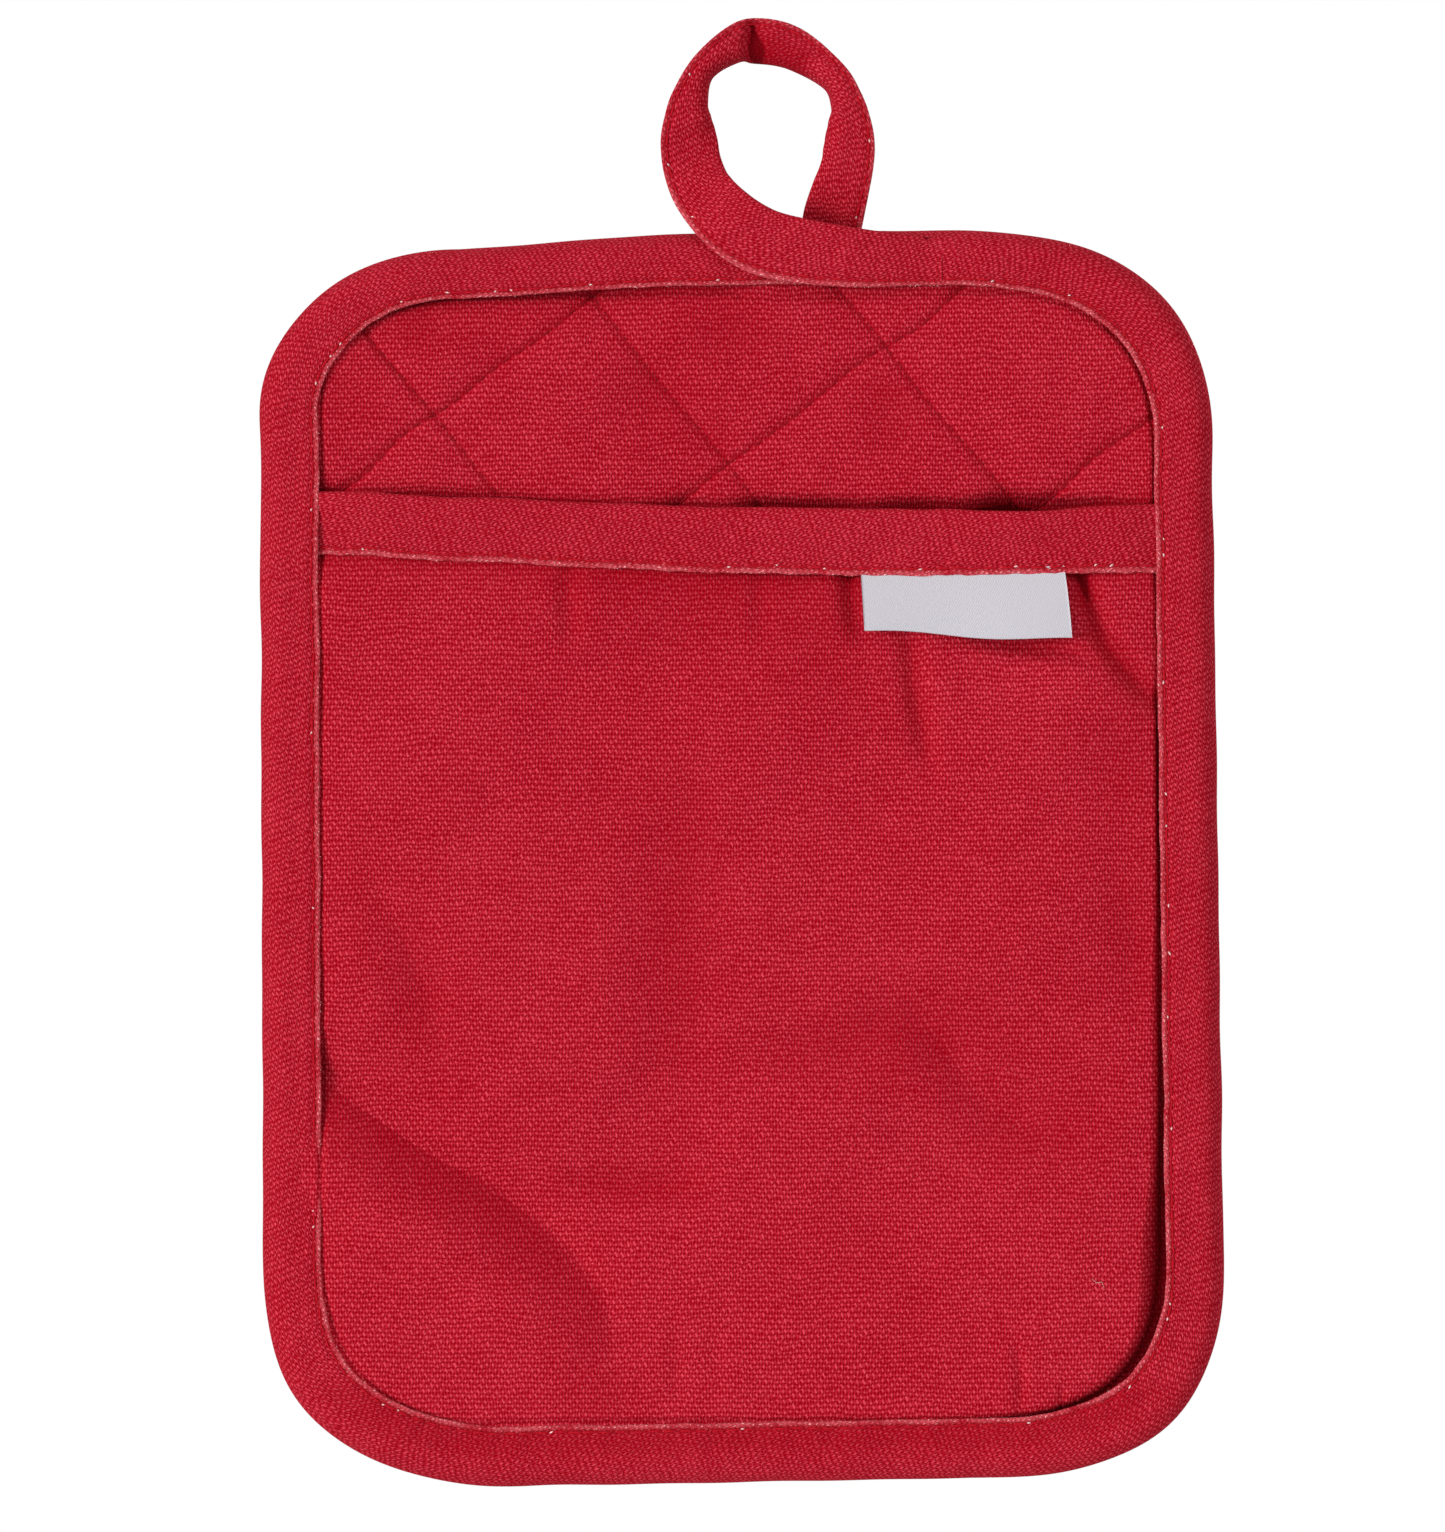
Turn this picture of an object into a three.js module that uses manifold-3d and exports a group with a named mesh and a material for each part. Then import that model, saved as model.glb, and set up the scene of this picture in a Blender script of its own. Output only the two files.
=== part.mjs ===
// A pocket oven mitt: a quilted rectangular pad with a hand pocket on its front, bound all round in folded
// tape. The free end of the tape runs on into a hang loop. Millimetres, +Z up, the front faces -Y, and the
// origin is the inside top of the hang loop, where a hook touches it.

import * as THREE from 'three';
import { mergeVertices } from 'three/addons/utils/BufferGeometryUtils.js';
import Module from 'manifold-3d';

// ---------------------------------------------------------------------------------------------------------
// Driving dimensions

// The four corners of the outline, from the top left round by the bottom. x and z are where the two edges
// would meet, run_x and run_z are how far the corner's curve reaches along them, and fullness is the exponent
// of its superellipse: 2 is a plain ellipse, and a larger one is squarer. share_z is how wide the binding is
// along the top or bottom edge, as a share of its width at the sides.
const CORNERS = [
  { side_x: -1, side_z: 1, x: -91.9, z: -34.6, run_x: 37, run_z: 32, fullness: 2, share_z: 0.86 },
  { side_x: -1, side_z: -1, x: -91.3, z: -263.4, run_x: 49, run_z: 41, fullness: 2.35, share_z: 1.04 },
  { side_x: 1, side_z: -1, x: 86.6, z: -261.9, run_x: 47, run_z: 41, fullness: 2.5, share_z: 1.04 },
  { side_x: 1, side_z: 1, x: 84.4, z: -31.1, run_x: 49, run_z: 42, fullness: 2.35, share_z: 0.95 },
];
const TOP_CROWN = 1.3; // how far the top edge rises over a straight line
const SHARPEST = 5; // the tightest that a corner turns, however deep the outline is inset
const CORNER_STEPS = 8;
const SIDE_STEPS = 6;

// Layers of the pad, as y at the bound edge, where the stitching presses them together. loft is how much
// further each face stands out in the middle of the pad.
const CANVAS = 0.8;
const LAYER_GAP = 0.3;
const FACE_FRONT = -3.2;
const FACE_LOFT = 0.6;
const BACK_REAR = 3.2;
const BACK_LOFT = 4.3;
const RAW_EDGE = 4; // how far the raw edges of the layers stop inside the fold of the binding
const LOFT_START = 10;
const LOFT_END = 36;
const LOFT_RINGS = 5;

// Folded tapes. half is half the thickness over both legs, fold is how deep the rounded fold is, and tape is
// the thickness of one leg. Inside the fold the cloth is slacker than outside by FOLD_SLACK.
const EDGE_TAPE = { width: 11, half: 5.45, fold: 4.5, tape: 1.1, middle: -0.75 };
const MOUTH_TAPE = { width: 11.6, half: 1.4, fold: 1.4, tape: 0.7 };
const FOLD_SLACK = 0.4;
const MOUTH_TAPE_GROWTH = 1.2; // the mouth's tape is this much wider at its right end
const FOLD_STEPS = 8;

// Pocket. Its panel stands off the pad by seam_y at the seams and by seam_y + room in the middle.
const POCKET = { inset: 11.6, bottom: -250, seam_y: -5.4, room: 4.2, side_ease: 18, bottom_ease: 30 };
const MOUTH = { left_z: -79.4, right_z: -81.6, sag: 1.9, skew: 1.2, panel_below: 1.9 };
const POCKET_COLUMNS = 30;
const POCKET_ROWS = 20;

// Label: a strip of ribbon folded in half, hanging from the lower edge of the mouth's tape.
const LABEL = { x: 19.6, length: 37.9, top: -95.1, stand_off: 0.5 };
const RIBBON = { width: 11.5, half: 0.4, fold: 0.4, tape: 0.25 };

// Loop tape: its middle line from where it leaves the top edge, round the loop, to its sewn end behind the
// pad. tilt is how far the outer edge of the tape leans forward, in degrees. It is steepest at the two upper
// corners, where the flat tape has to turn in its own plane.
const LOOP_TAPE = { thickness: 2.2, edge: 0.8, edge_share: 0.6 };
const LOOP_ROUTE = [
  { x: 26, y: -5.5, z: -36.8, tilt: 0, width: 10.9 },
  { x: 17, y: -5.5, z: -36.3, tilt: 0, width: 11.2 },
  { x: 8, y: -5.5, z: -35.2, tilt: 0, width: 12 },
  { x: 1, y: -5.5, z: -33.5, tilt: 0, width: 12.4 },
  { x: -5, y: -4.9, z: -29.8, tilt: 0, width: 12.2 },
  { x: -9.7, y: -2.2, z: -24.4, tilt: 2, width: 11.4 },
  { x: -11.8, y: -0.2, z: -19.5, tilt: 3, width: 11 },
  { x: -12.6, y: 0, z: -14.8, tilt: 12, width: 10.8 },
  { x: -12.9, y: 0, z: -11, tilt: 32, width: 10.8 },
  { x: -12.4, y: 0, z: -6.8, tilt: 50, width: 10.8 },
  { x: -9.9, y: 0, z: -1.4, tilt: 62, width: 10.8 },
  { x: -4.6, y: 0, z: 2.9, tilt: 52, width: 10.8 },
  { x: -0.4, y: 0, z: 4.1, tilt: 42, width: 10.8 },
  { x: 6.6, y: 0, z: 2.8, tilt: 47, width: 10.6 },
  { x: 14.2, y: 0, z: -2.5, tilt: 62, width: 10.4 },
  { x: 16.7, y: 0, z: -7.4, tilt: 56, width: 10.2 },
  { x: 17.2, y: 0, z: -11, tilt: 40, width: 10 },
  { x: 17.1, y: 0, z: -14.8, tilt: 18, width: 9.6 },
  { x: 16.6, y: 0, z: -19.5, tilt: 2, width: 9.6 },
  { x: 15.7, y: 1.8, z: -23.7, tilt: 0, width: 10 },
  { x: 14.4, y: 5.4, z: -29, tilt: 0, width: 10.4 },
  { x: 13.4, y: 6.2, z: -35, tilt: 0, width: 10.6 },
  { x: 12.6, y: 6.2, z: -43.5, tilt: 0, width: 10.6 },
];
const LOOP_STEPS = 64;
const LOOP_BEND = { z: -20, half_gap: 1.6 }; // where the loop bends on the pad, and the room it bends in
const TAIL_SPLIT = { x: 6, y: -3 }; // only the sewn end of the tape lies right of and behind these
const CUT_REACH = 60; // a cutting box reaches past the loop on every side

// Cloth colours and roughness
const RED_CANVAS = 0xbe1e34;
const RED_TAPE = 0xb81a30;
const COTTON = 0xe9e2d2;
const SATIN = 0xe9e8ee;
const MATT = 0.9;
const FLUFFY = 1;
const GLOSSY = 0.45;

// ---------------------------------------------------------------------------------------------------------
// Small mathematics

const lerp = THREE.MathUtils.lerp;
const clamp = THREE.MathUtils.clamp;
const radians = THREE.MathUtils.degToRad;
const FRONT = new THREE.Vector3(0, -1, 0);

// Rises smoothly from 0 to 1 as t goes from 0 to 1.
function ease(t) {
  return THREE.MathUtils.smoothstep(t, 0, 1);
}

// Whole steps from 0 to 1, both ends included.
function steps(count) {
  return Array.from({ length: count + 1 }, (_, i) => i / count);
}

// ---------------------------------------------------------------------------------------------------------
// Solids

// Joins closed sections of equal length into one solid, each to the next. With cap 'ring' the last joins
// the first. 'fan' closes a convex end round its centre, and 'strip' zips the two halves of a thin end.
function loft(sections, cap) {
  const points = sections.flat();
  const size = sections[0].length;
  const triangles = [];
  const links = cap === 'ring' ? sections.length : sections.length - 1;
  for (let s = 0; s < links; s++) {
    const near = s * size;
    const far = ((s + 1) % sections.length) * size;
    for (let i = 0; i < size; i++) {
      const j = (i + 1) % size;
      triangles.push(near + i, near + j, far + j, near + i, far + j, far + i);
    }
  }
  if (cap !== 'ring') {
    const close = cap === 'fan' ? fanCap : stripCap;
    close(points, triangles, 0, size, false);
    close(points, triangles, (sections.length - 1) * size, size, true);
  }
  return outwardGeometry(points, triangles);
}

function fanCap(points, triangles, start, size, last) {
  const centre = new THREE.Vector3();
  for (let i = 0; i < size; i++) centre.add(points[start + i]);
  const hub = points.push(centre.divideScalar(size)) - 1;
  for (let i = 0; i < size; i++) {
    const a = start + i;
    const b = start + ((i + 1) % size);
    triangles.push(...(last ? [a, b, hub] : [b, a, hub]));
  }
}

function stripCap(points, triangles, start, size, last) {
  for (let i = 0; i < size / 2 - 1; i++) {
    const a = start + i;
    const b = a + 1;
    const c = start + size - 1 - i;
    const d = c - 1;
    triangles.push(...(last ? [a, b, d, a, d, c] : [b, a, d, d, a, c]));
  }
}

// Turns the triangles round if the volume they enclose comes out negative.
function outwardGeometry(points, triangles) {
  let volume = 0;
  for (let i = 0; i < triangles.length; i += 3) {
    const [a, b, c] = [0, 1, 2].map((k) => points[triangles[i + k]]);
    volume += a.dot(new THREE.Vector3().crossVectors(b, c));
  }
  if (volume < 0) triangles.reverse();
  const geometry = new THREE.BufferGeometry().setFromPoints(points);
  geometry.setIndex(triangles);
  return geometry;
}

const wasm = await Module();
wasm.setup();

// The geometry as a solid that can be joined and cut.
function toSolid(geometry) {
  const bare = geometry.clone();
  bare.deleteAttribute('normal');
  bare.deleteAttribute('uv');
  const merged = mergeVertices(bare);
  const vertProperties = Float32Array.from(merged.attributes.position.array);
  const triVerts = Uint32Array.from(merged.index.array);
  return new wasm.Manifold(new wasm.Mesh({ numProp: 3, vertProperties, triVerts }));
}

function toGeometry(solid) {
  const { vertProperties, triVerts } = solid.getMesh();
  const geometry = new THREE.BufferGeometry();
  geometry.setAttribute('position', new THREE.BufferAttribute(vertProperties, 3));
  geometry.setIndex(new THREE.BufferAttribute(triVerts, 1));
  return geometry;
}

// A box between two corners, as a cutting solid.
function cutter(low, high) {
  const box = new THREE.Box3(new THREE.Vector3(...low), new THREE.Vector3(...high));
  const size = box.getSize(new THREE.Vector3());
  const centre = box.getCenter(new THREE.Vector3());
  const geometry = new THREE.BoxGeometry(size.x, size.y, size.z);
  return toSolid(geometry.translate(centre.x, centre.y, centre.z));
}

// ---------------------------------------------------------------------------------------------------------
// Outline

// One corner of the outline, drawn inset from the edge, as points in the order that goes round by the left.
function cornerArc(corner, inset) {
  const inset_z = inset * corner.share_z;
  const run_x = Math.max(corner.run_x - inset, SHARPEST);
  const run_z = Math.max(corner.run_z - inset_z, SHARPEST);
  const centre_x = corner.x - corner.side_x * (inset + run_x);
  const centre_z = corner.z - corner.side_z * (inset_z + run_z);
  const from_top_or_bottom = corner.side_x * corner.side_z < 0;
  return steps(CORNER_STEPS).map((t) => {
    const angle = (from_top_or_bottom ? 1 - t : t) * Math.PI / 2;
    const across = run_x * Math.cos(angle) ** (2 / corner.fullness);
    const up = run_z * Math.sin(angle) ** (2 / corner.fullness);
    return { x: centre_x + corner.side_x * across, z: centre_z + corner.side_z * up };
  });
}

// The outline of the mitt, inset from its edge, as points in the XZ plane.
function rim(inset) {
  const arcs = CORNERS.map((corner) => cornerArc(corner, inset));
  return arcs.flatMap((arc, i) => {
    const from = arc.at(-1);
    const to = arcs[(i + 1) % arcs.length][0];
    const crown = i === arcs.length - 1 ? TOP_CROWN : 0;
    const side = steps(SIDE_STEPS).slice(1, -1).map((t) => ({
      x: lerp(from.x, to.x, t),
      z: lerp(from.z, to.z, t) + crown * Math.sin(Math.PI * t),
    }));
    return [...arc, ...side];
  });
}

function rimSection(inset, y) {
  return rim(inset).map((point) => new THREE.Vector3(point.x, y, point.z));
}

// ---------------------------------------------------------------------------------------------------------
// Pad

// A padded layer between a front and a rear face. Each face lies at its own y at the bound edge and stands
// out by its loft towards the middle, where it is flat.
function padLayer(front, front_loft, rear, rear_loft) {
  const insets = [RAW_EDGE, ...steps(LOFT_RINGS).map((t) => lerp(LOFT_START, LOFT_END, t))];
  const rise = (inset) => ease((inset - LOFT_START) / (LOFT_END - LOFT_START));
  const front_rings = insets.map((inset) => rimSection(inset, front - front_loft * rise(inset)));
  const rear_rings = insets.map((inset) => rimSection(inset, rear + rear_loft * rise(inset)));
  return loft([...front_rings.reverse(), ...rear_rings], 'fan');
}

function facePanel() {
  return padLayer(FACE_FRONT, FACE_LOFT, FACE_FRONT + CANVAS, -FACE_LOFT);
}

function wadding() {
  const front = FACE_FRONT + CANVAS + LAYER_GAP;
  const rear = BACK_REAR - CANVAS - LAYER_GAP;
  return padLayer(front, FACE_LOFT, rear, BACK_LOFT);
}

function backPanel() {
  return padLayer(BACK_REAR - CANVAS, -BACK_LOFT, BACK_REAR, BACK_LOFT);
}

// ---------------------------------------------------------------------------------------------------------
// Folded tapes

// A tape folded over an edge, cut across: d runs inwards from the fold and y across it. The outside is
// walked from one leg round the fold to the other, and then the inside back again.
function foldedSection({ width, half, fold, tape }) {
  const walk = (depth, reach, start) => {
    const bend = steps(FOLD_STEPS).map((t) => {
      const angle = lerp(-Math.PI / 2, Math.PI / 2, t);
      return { d: start + depth * (1 - Math.cos(angle)), y: reach * Math.sin(angle) };
    });
    return [{ d: width, y: -reach }, ...bend, { d: width, y: reach }];
  };
  const outside = walk(fold, half, 0);
  const inside = walk(fold - tape + FOLD_SLACK, half - tape, tape);
  return [...outside, ...inside.reverse()];
}

function edgeBinding() {
  const sections = foldedSection(EDGE_TAPE).map(({ d, y }) => rimSection(d, y + EDGE_TAPE.middle));
  const notch = toSolid(loopTape(LAYER_GAP));
  return toGeometry(toSolid(loft(sections, 'ring')).subtract(notch));
}

// ---------------------------------------------------------------------------------------------------------
// Pocket

// How far a curved corner of the outline has drawn in from the straight side at height z.
function cornerDraw(corner, z) {
  const run_x = corner.run_x - POCKET.inset;
  const top = POCKET.bottom + corner.run_z - POCKET.inset;
  const share = clamp((top - z) / (top - POCKET.bottom), 0, 1);
  return run_x * (1 - (1 - share ** corner.fullness) ** (1 / corner.fullness));
}

// The left and right ends of the pocket at height z.
function pocketSpan(z) {
  const [top_left, bottom_left, bottom_right, top_right] = CORNERS;
  const t = clamp((z - top_left.z) / (bottom_left.z - top_left.z), 0, 1);
  return {
    left: lerp(top_left.x, bottom_left.x, t) + POCKET.inset + cornerDraw(bottom_left, z),
    right: lerp(top_right.x, bottom_right.x, t) - POCKET.inset - cornerDraw(bottom_right, z),
  };
}

// The height of the mouth at the share t of its length, from the left.
function mouthHeight(t) {
  return lerp(MOUTH.left_z, MOUTH.right_z, t) - MOUTH.sag * Math.sin(Math.PI * t ** MOUTH.skew);
}

// The middle of the pocket's cloth, which swells away from the pad between its three seams.
function pocketDepth(x, z, span) {
  const side = Math.min(x - span.left, span.right - x);
  const swell = ease(side / POCKET.side_ease) * ease((z - POCKET.bottom) / POCKET.bottom_ease);
  return POCKET.seam_y - POCKET.room * swell;
}

// Each row runs along the front of the cloth from left to right and back along its rear.
function pocketPanel() {
  const rows = steps(POCKET_ROWS).map((k) => {
    const down = Math.sin(k * Math.PI / 2);
    const level = lerp(MOUTH.left_z, POCKET.bottom, down);
    const span = pocketSpan(level);
    const line = (offset) => steps(POCKET_COLUMNS).map((t) => {
      const x = lerp(span.left, span.right, t);
      const top = mouthHeight(t) - MOUTH.panel_below;
      const z = lerp(top, POCKET.bottom, down);
      return new THREE.Vector3(x, pocketDepth(x, z, span) + offset, z);
    });
    return [...line(-CANVAS / 2), ...line(CANVAS / 2).reverse()];
  });
  return loft(rows, 'strip');
}

function pocketBinding() {
  const span = pocketSpan(MOUTH.left_z);
  const sections = steps(POCKET_COLUMNS).map((t) => {
    const x = lerp(span.left, span.right, t);
    const top = mouthHeight(t);
    const middle = pocketDepth(x, top, span);
    const width = MOUTH_TAPE.width + MOUTH_TAPE_GROWTH * t;
    return foldedSection({ ...MOUTH_TAPE, width })
      .map(({ d, y }) => new THREE.Vector3(x, middle + y, top - d));
  });
  return loft(sections, 'strip');
}

// ---------------------------------------------------------------------------------------------------------
// Label

// The fold of the ribbon is at its lower edge, and its two ends are at the top.
function label() {
  const section = foldedSection(RIBBON);
  const middle = POCKET.seam_y - POCKET.room - MOUTH_TAPE.half - LABEL.stand_off;
  const ends = [LABEL.x, LABEL.x + LABEL.length].map((x) => section
    .map(({ d, y }) => new THREE.Vector3(x, middle + y, LABEL.top - RIBBON.width + d)));
  return loft(ends, 'strip');
}

// ---------------------------------------------------------------------------------------------------------
// Hang loop

// The tape's section: across is its width and through its thickness, swollen by an allowance all round.
function tapeSection(width, allowance) {
  const half_width = width / 2 + allowance;
  const half_through = LOOP_TAPE.thickness / 2 + allowance;
  const shoulder = half_width - LOOP_TAPE.edge;
  const front = [
    { across: half_width, through: half_through * LOOP_TAPE.edge_share },
    { across: shoulder, through: half_through },
    { across: 0, through: half_through },
    { across: -shoulder, through: half_through },
    { across: -half_width, through: half_through * LOOP_TAPE.edge_share },
  ];
  const rear = front.map(({ across, through }) => ({ across, through: -through }));
  return [...front, ...rear.reverse()];
}

// The whole free end of the tape: it is swept along its route with its outer edge leaning by the tilt.
function loopTape(allowance) {
  const places = LOOP_ROUTE.map(({ x, y, z }) => new THREE.Vector3(x, y, z));
  const shapes = LOOP_ROUTE.map(({ tilt, width }, i) => new THREE.Vector3(i, tilt, width));
  const route = new THREE.CatmullRomCurve3(places);
  const shape = new THREE.CatmullRomCurve3(shapes);
  const sections = steps(LOOP_STEPS).map((t) => {
    const point = route.getPoint(t);
    const along = route.getTangent(t);
    const { y: lean, z: width } = shape.getPoint(t);
    const tilt = radians(lean);
    const outward = new THREE.Vector3().crossVectors(FRONT, along).normalize();
    const across = outward.multiplyScalar(Math.cos(tilt)).addScaledVector(FRONT, Math.sin(tilt));
    const through = new THREE.Vector3().crossVectors(along, across).normalize();
    return tapeSection(width, allowance).map((corner) => point.clone()
      .addScaledVector(across, corner.across)
      .addScaledVector(through, corner.through));
  });
  return loft(sections, 'strip');
}

// The tape above the bend swings, and its two ends below the bend are sewn to the pad.
function loopPieces() {
  const tape = toSolid(loopTape(0));
  const far = CUT_REACH;
  const upper = LOOP_BEND.z + LOOP_BEND.half_gap;
  const lower = LOOP_BEND.z - LOOP_BEND.half_gap;
  const above = cutter([-far, -far, upper], [far, far, far]);
  const below = cutter([-far, -far, -far], [far, far, lower]);
  const behind = cutter([TAIL_SPLIT.x, TAIL_SPLIT.y, -far], [far, far, lower]);
  return {
    hang_loop: toGeometry(tape.intersect(above)),
    loop_start: toGeometry(tape.intersect(below).subtract(behind)),
    loop_end: toGeometry(tape.intersect(behind)),
  };
}

// ---------------------------------------------------------------------------------------------------------
// Assembly

function cloth(name, geometry, color, roughness) {
  const material = new THREE.MeshStandardMaterial({ name, color, roughness, metalness: 0 });
  const mesh = new THREE.Mesh(geometry, material);
  mesh.name = name;
  return mesh;
}

const loop = loopPieces();

const pad = new THREE.Group();
pad.add(
  cloth('face_panel', facePanel(), RED_CANVAS, MATT),
  cloth('wadding', wadding(), COTTON, FLUFFY),
  cloth('back_panel', backPanel(), RED_CANVAS, MATT),
  cloth('edge_binding', edgeBinding(), RED_TAPE, MATT),
  cloth('loop_start', loop.loop_start, RED_TAPE, MATT),
  cloth('loop_end', loop.loop_end, RED_TAPE, MATT),
);

const pocket = new THREE.Group();
pocket.add(
  cloth('pocket_panel', pocketPanel(), RED_CANVAS, MATT),
  cloth('pocket_binding', pocketBinding(), RED_TAPE, MATT),
);

const mitt = new THREE.Group();
mitt.add(
  cloth('hang_loop', loop.hang_loop, RED_TAPE, MATT),
  pad,
  pocket,
  cloth('label', label(), SATIN, GLOSSY),
);

export default mitt;
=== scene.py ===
"""A quilted oven mitt with a hand pocket, bound in folded tape that runs on into a hang loop.

Every piece is a surface worked out with numpy in the millimetres of the part's own frame: +Z up, the front
faces -Y, and the origin is the inside top of the hang loop. Points become metres when a mesh is written.
"""

import math

import bpy
import numpy as np
from bpy.props import FloatProperty, FloatVectorProperty, PointerProperty
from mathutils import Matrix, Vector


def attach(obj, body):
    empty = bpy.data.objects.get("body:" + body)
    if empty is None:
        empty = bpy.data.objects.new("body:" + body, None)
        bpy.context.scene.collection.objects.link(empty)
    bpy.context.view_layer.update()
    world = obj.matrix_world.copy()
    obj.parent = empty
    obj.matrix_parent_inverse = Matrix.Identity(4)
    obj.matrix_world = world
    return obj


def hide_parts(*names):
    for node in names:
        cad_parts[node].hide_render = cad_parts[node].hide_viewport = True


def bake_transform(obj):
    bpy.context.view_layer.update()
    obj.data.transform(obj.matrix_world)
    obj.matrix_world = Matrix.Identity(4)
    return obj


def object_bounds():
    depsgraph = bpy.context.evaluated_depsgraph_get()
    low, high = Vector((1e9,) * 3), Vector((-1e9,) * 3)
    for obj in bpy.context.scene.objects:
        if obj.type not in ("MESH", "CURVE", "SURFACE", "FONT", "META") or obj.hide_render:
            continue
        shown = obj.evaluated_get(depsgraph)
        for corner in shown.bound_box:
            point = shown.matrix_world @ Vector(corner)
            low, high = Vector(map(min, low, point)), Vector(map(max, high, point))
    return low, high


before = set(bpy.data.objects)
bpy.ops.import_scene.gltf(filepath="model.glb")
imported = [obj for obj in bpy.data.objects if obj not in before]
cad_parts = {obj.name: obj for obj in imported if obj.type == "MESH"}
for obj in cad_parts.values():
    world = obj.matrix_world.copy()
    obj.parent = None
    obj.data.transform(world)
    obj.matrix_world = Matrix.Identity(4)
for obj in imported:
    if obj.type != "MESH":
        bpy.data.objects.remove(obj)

bl_info = {
    "name": "Pocket Oven Mitt",
    "version": (1, 0, 0),
    "blender": (4, 5, 0),
    "location": "View3D > Sidebar > Oven Mitt",
    "description": "Builds the cloth, tapes, stitching and stage of a quilted pocket mitt",
    "category": "Add Mesh",
}

CAD_BOX = [list(corner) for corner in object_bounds()]
MM = 0.001
FRONT = np.array([0.0, -1.0, 0.0])
BACK = np.array([0.0, 1.0, 0.0])

# ---------------------------------------------------------------------------------------------------------
# Driving dimensions in millimetres

# The outline's corners from the top left round by the bottom: the signs of their side, where the two edges
# would meet, how far the curve reaches along each, the exponent of its superellipse, and the width of the
# binding along the top or bottom as a share of its width at the sides.
CORNERS = (
    dict(side_x=-1, side_z=1, x=-91.9, z=-34.6, run_x=37, run_z=32, fullness=2.12, share_z=0.86),
    dict(side_x=-1, side_z=-1, x=-91.3, z=-263.2, run_x=49, run_z=41, fullness=2.48, share_z=1.04),
    dict(side_x=1, side_z=-1, x=86.3, z=-261.7, run_x=47, run_z=41, fullness=2.66, share_z=1.04),
    dict(side_x=1, side_z=1, x=84.2, z=-31.1, run_x=49, run_z=42, fullness=2.58, share_z=0.95),
)
TOP_LEFT, BOTTOM_LEFT, BOTTOM_RIGHT, TOP_RIGHT = CORNERS
TOP_CROWN = 1.3
SHARPEST = 5  # the shortest reach of a corner, however far it is inset
CANVAS = 0.8
TAPE_SHOWN = 11
HEM_AT = 11.15  # how far in from the outline the layers dip beside the edge tape's hem

# The way of the loop's middle line: x, y, z, the lean of its outer edge in degrees, and the tape's width.
LOOP_ROUTE = (
    (26, -5.5, -36.8, 0, 10.9),
    (17, -5.5, -36.3, 0, 11.2),
    (8, -5.5, -35.2, 0, 12),
    (1, -5.5, -33.5, 0, 12.4),
    (-5, -4.9, -29.8, 0, 12.2),
    (-9.7, -2.2, -24.4, 2, 11.4),
    (-11.8, -0.2, -19.5, 3, 11),
    (-12.6, 0, -14.8, 12, 10.8),
    (-13.1, 0, -11, 38, 10.8),
    (-12.8, 0, -6.8, 55, 10.8),
    (-10.4, 0, -0.9, 68, 10.8),
    (-4.9, 0, 3.4, 59, 10.8),
    (-0.4, 0, 4.4, 47, 10.8),
    (6.7, 0, 3.0, 50, 10.6),
    (14.4, 0, -2.3, 64, 10.4),
    (17.0, 0, -7.2, 59, 10.2),
    (17.5, 0, -11, 44, 10),
    (17.3, 0, -14.8, 27, 10.1),
    (16.6, 0.1, -19.5, 11, 9.95),
    (15.4, 0.8, -23.7, 3, 10.6),
    (14.1, 3.4, -28.6, 0, 11.2),
    (13.4, 6.2, -33.5, 0, 10.7),
    (12.6, 6.2, -43.5, 0, 10.6),
)
LOOP_LEAD_IN = (34, -5.5, -36.6, 0, 10.7)

# Mouth of the pocket: its height at the left and right, how far in from the outline its ends lie, how far it
# sags between, and the power that moves the sag's lowest place to the right.
MOUTH = dict(left_z=-79.4, right_z=-81.6, inset=11.6, sag=1.9, skew=1.2)
HEM_DROP = 12.2  # from the mouth down to just below the hem of its tape

# Quilting rows: the direction across a family of rows, the place of one row, and the pitch of the family.
QUILT_ROWS = (
    dict(across=(0.776, 0.631), place=-15.0, pitch=36.3),
    dict(across=(0.6, -0.8), place=16.6, pitch=39.8),
)

# Levels of the front, as distance from the middle plane towards the viewer.
FACE_EDGE = 4.5
FACE_LOFT = 0.5
FACE_SUNK = 1.2
POCKET_EDGE = 5.1
POCKET_ROOM = 2.0
BACK_EDGE = 3.0
BACK_LOFT = 2.9
LOFT_FROM = 9
LOFT_OVER = 24
SWELL_OVER = 8

# ---------------------------------------------------------------------------------------------------------
# Properties


def length(name, description, default, low=0.0, high=1.0):
    return FloatProperty(
        name=name, description=description, default=default * MM, min=low, max=high,
        subtype="DISTANCE", unit="LENGTH", precision=5,
    )


def colour(name, description, default):
    return FloatVectorProperty(
        name=name, description=description, default=default, min=0, max=1, size=3, subtype="COLOR",
    )


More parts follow.
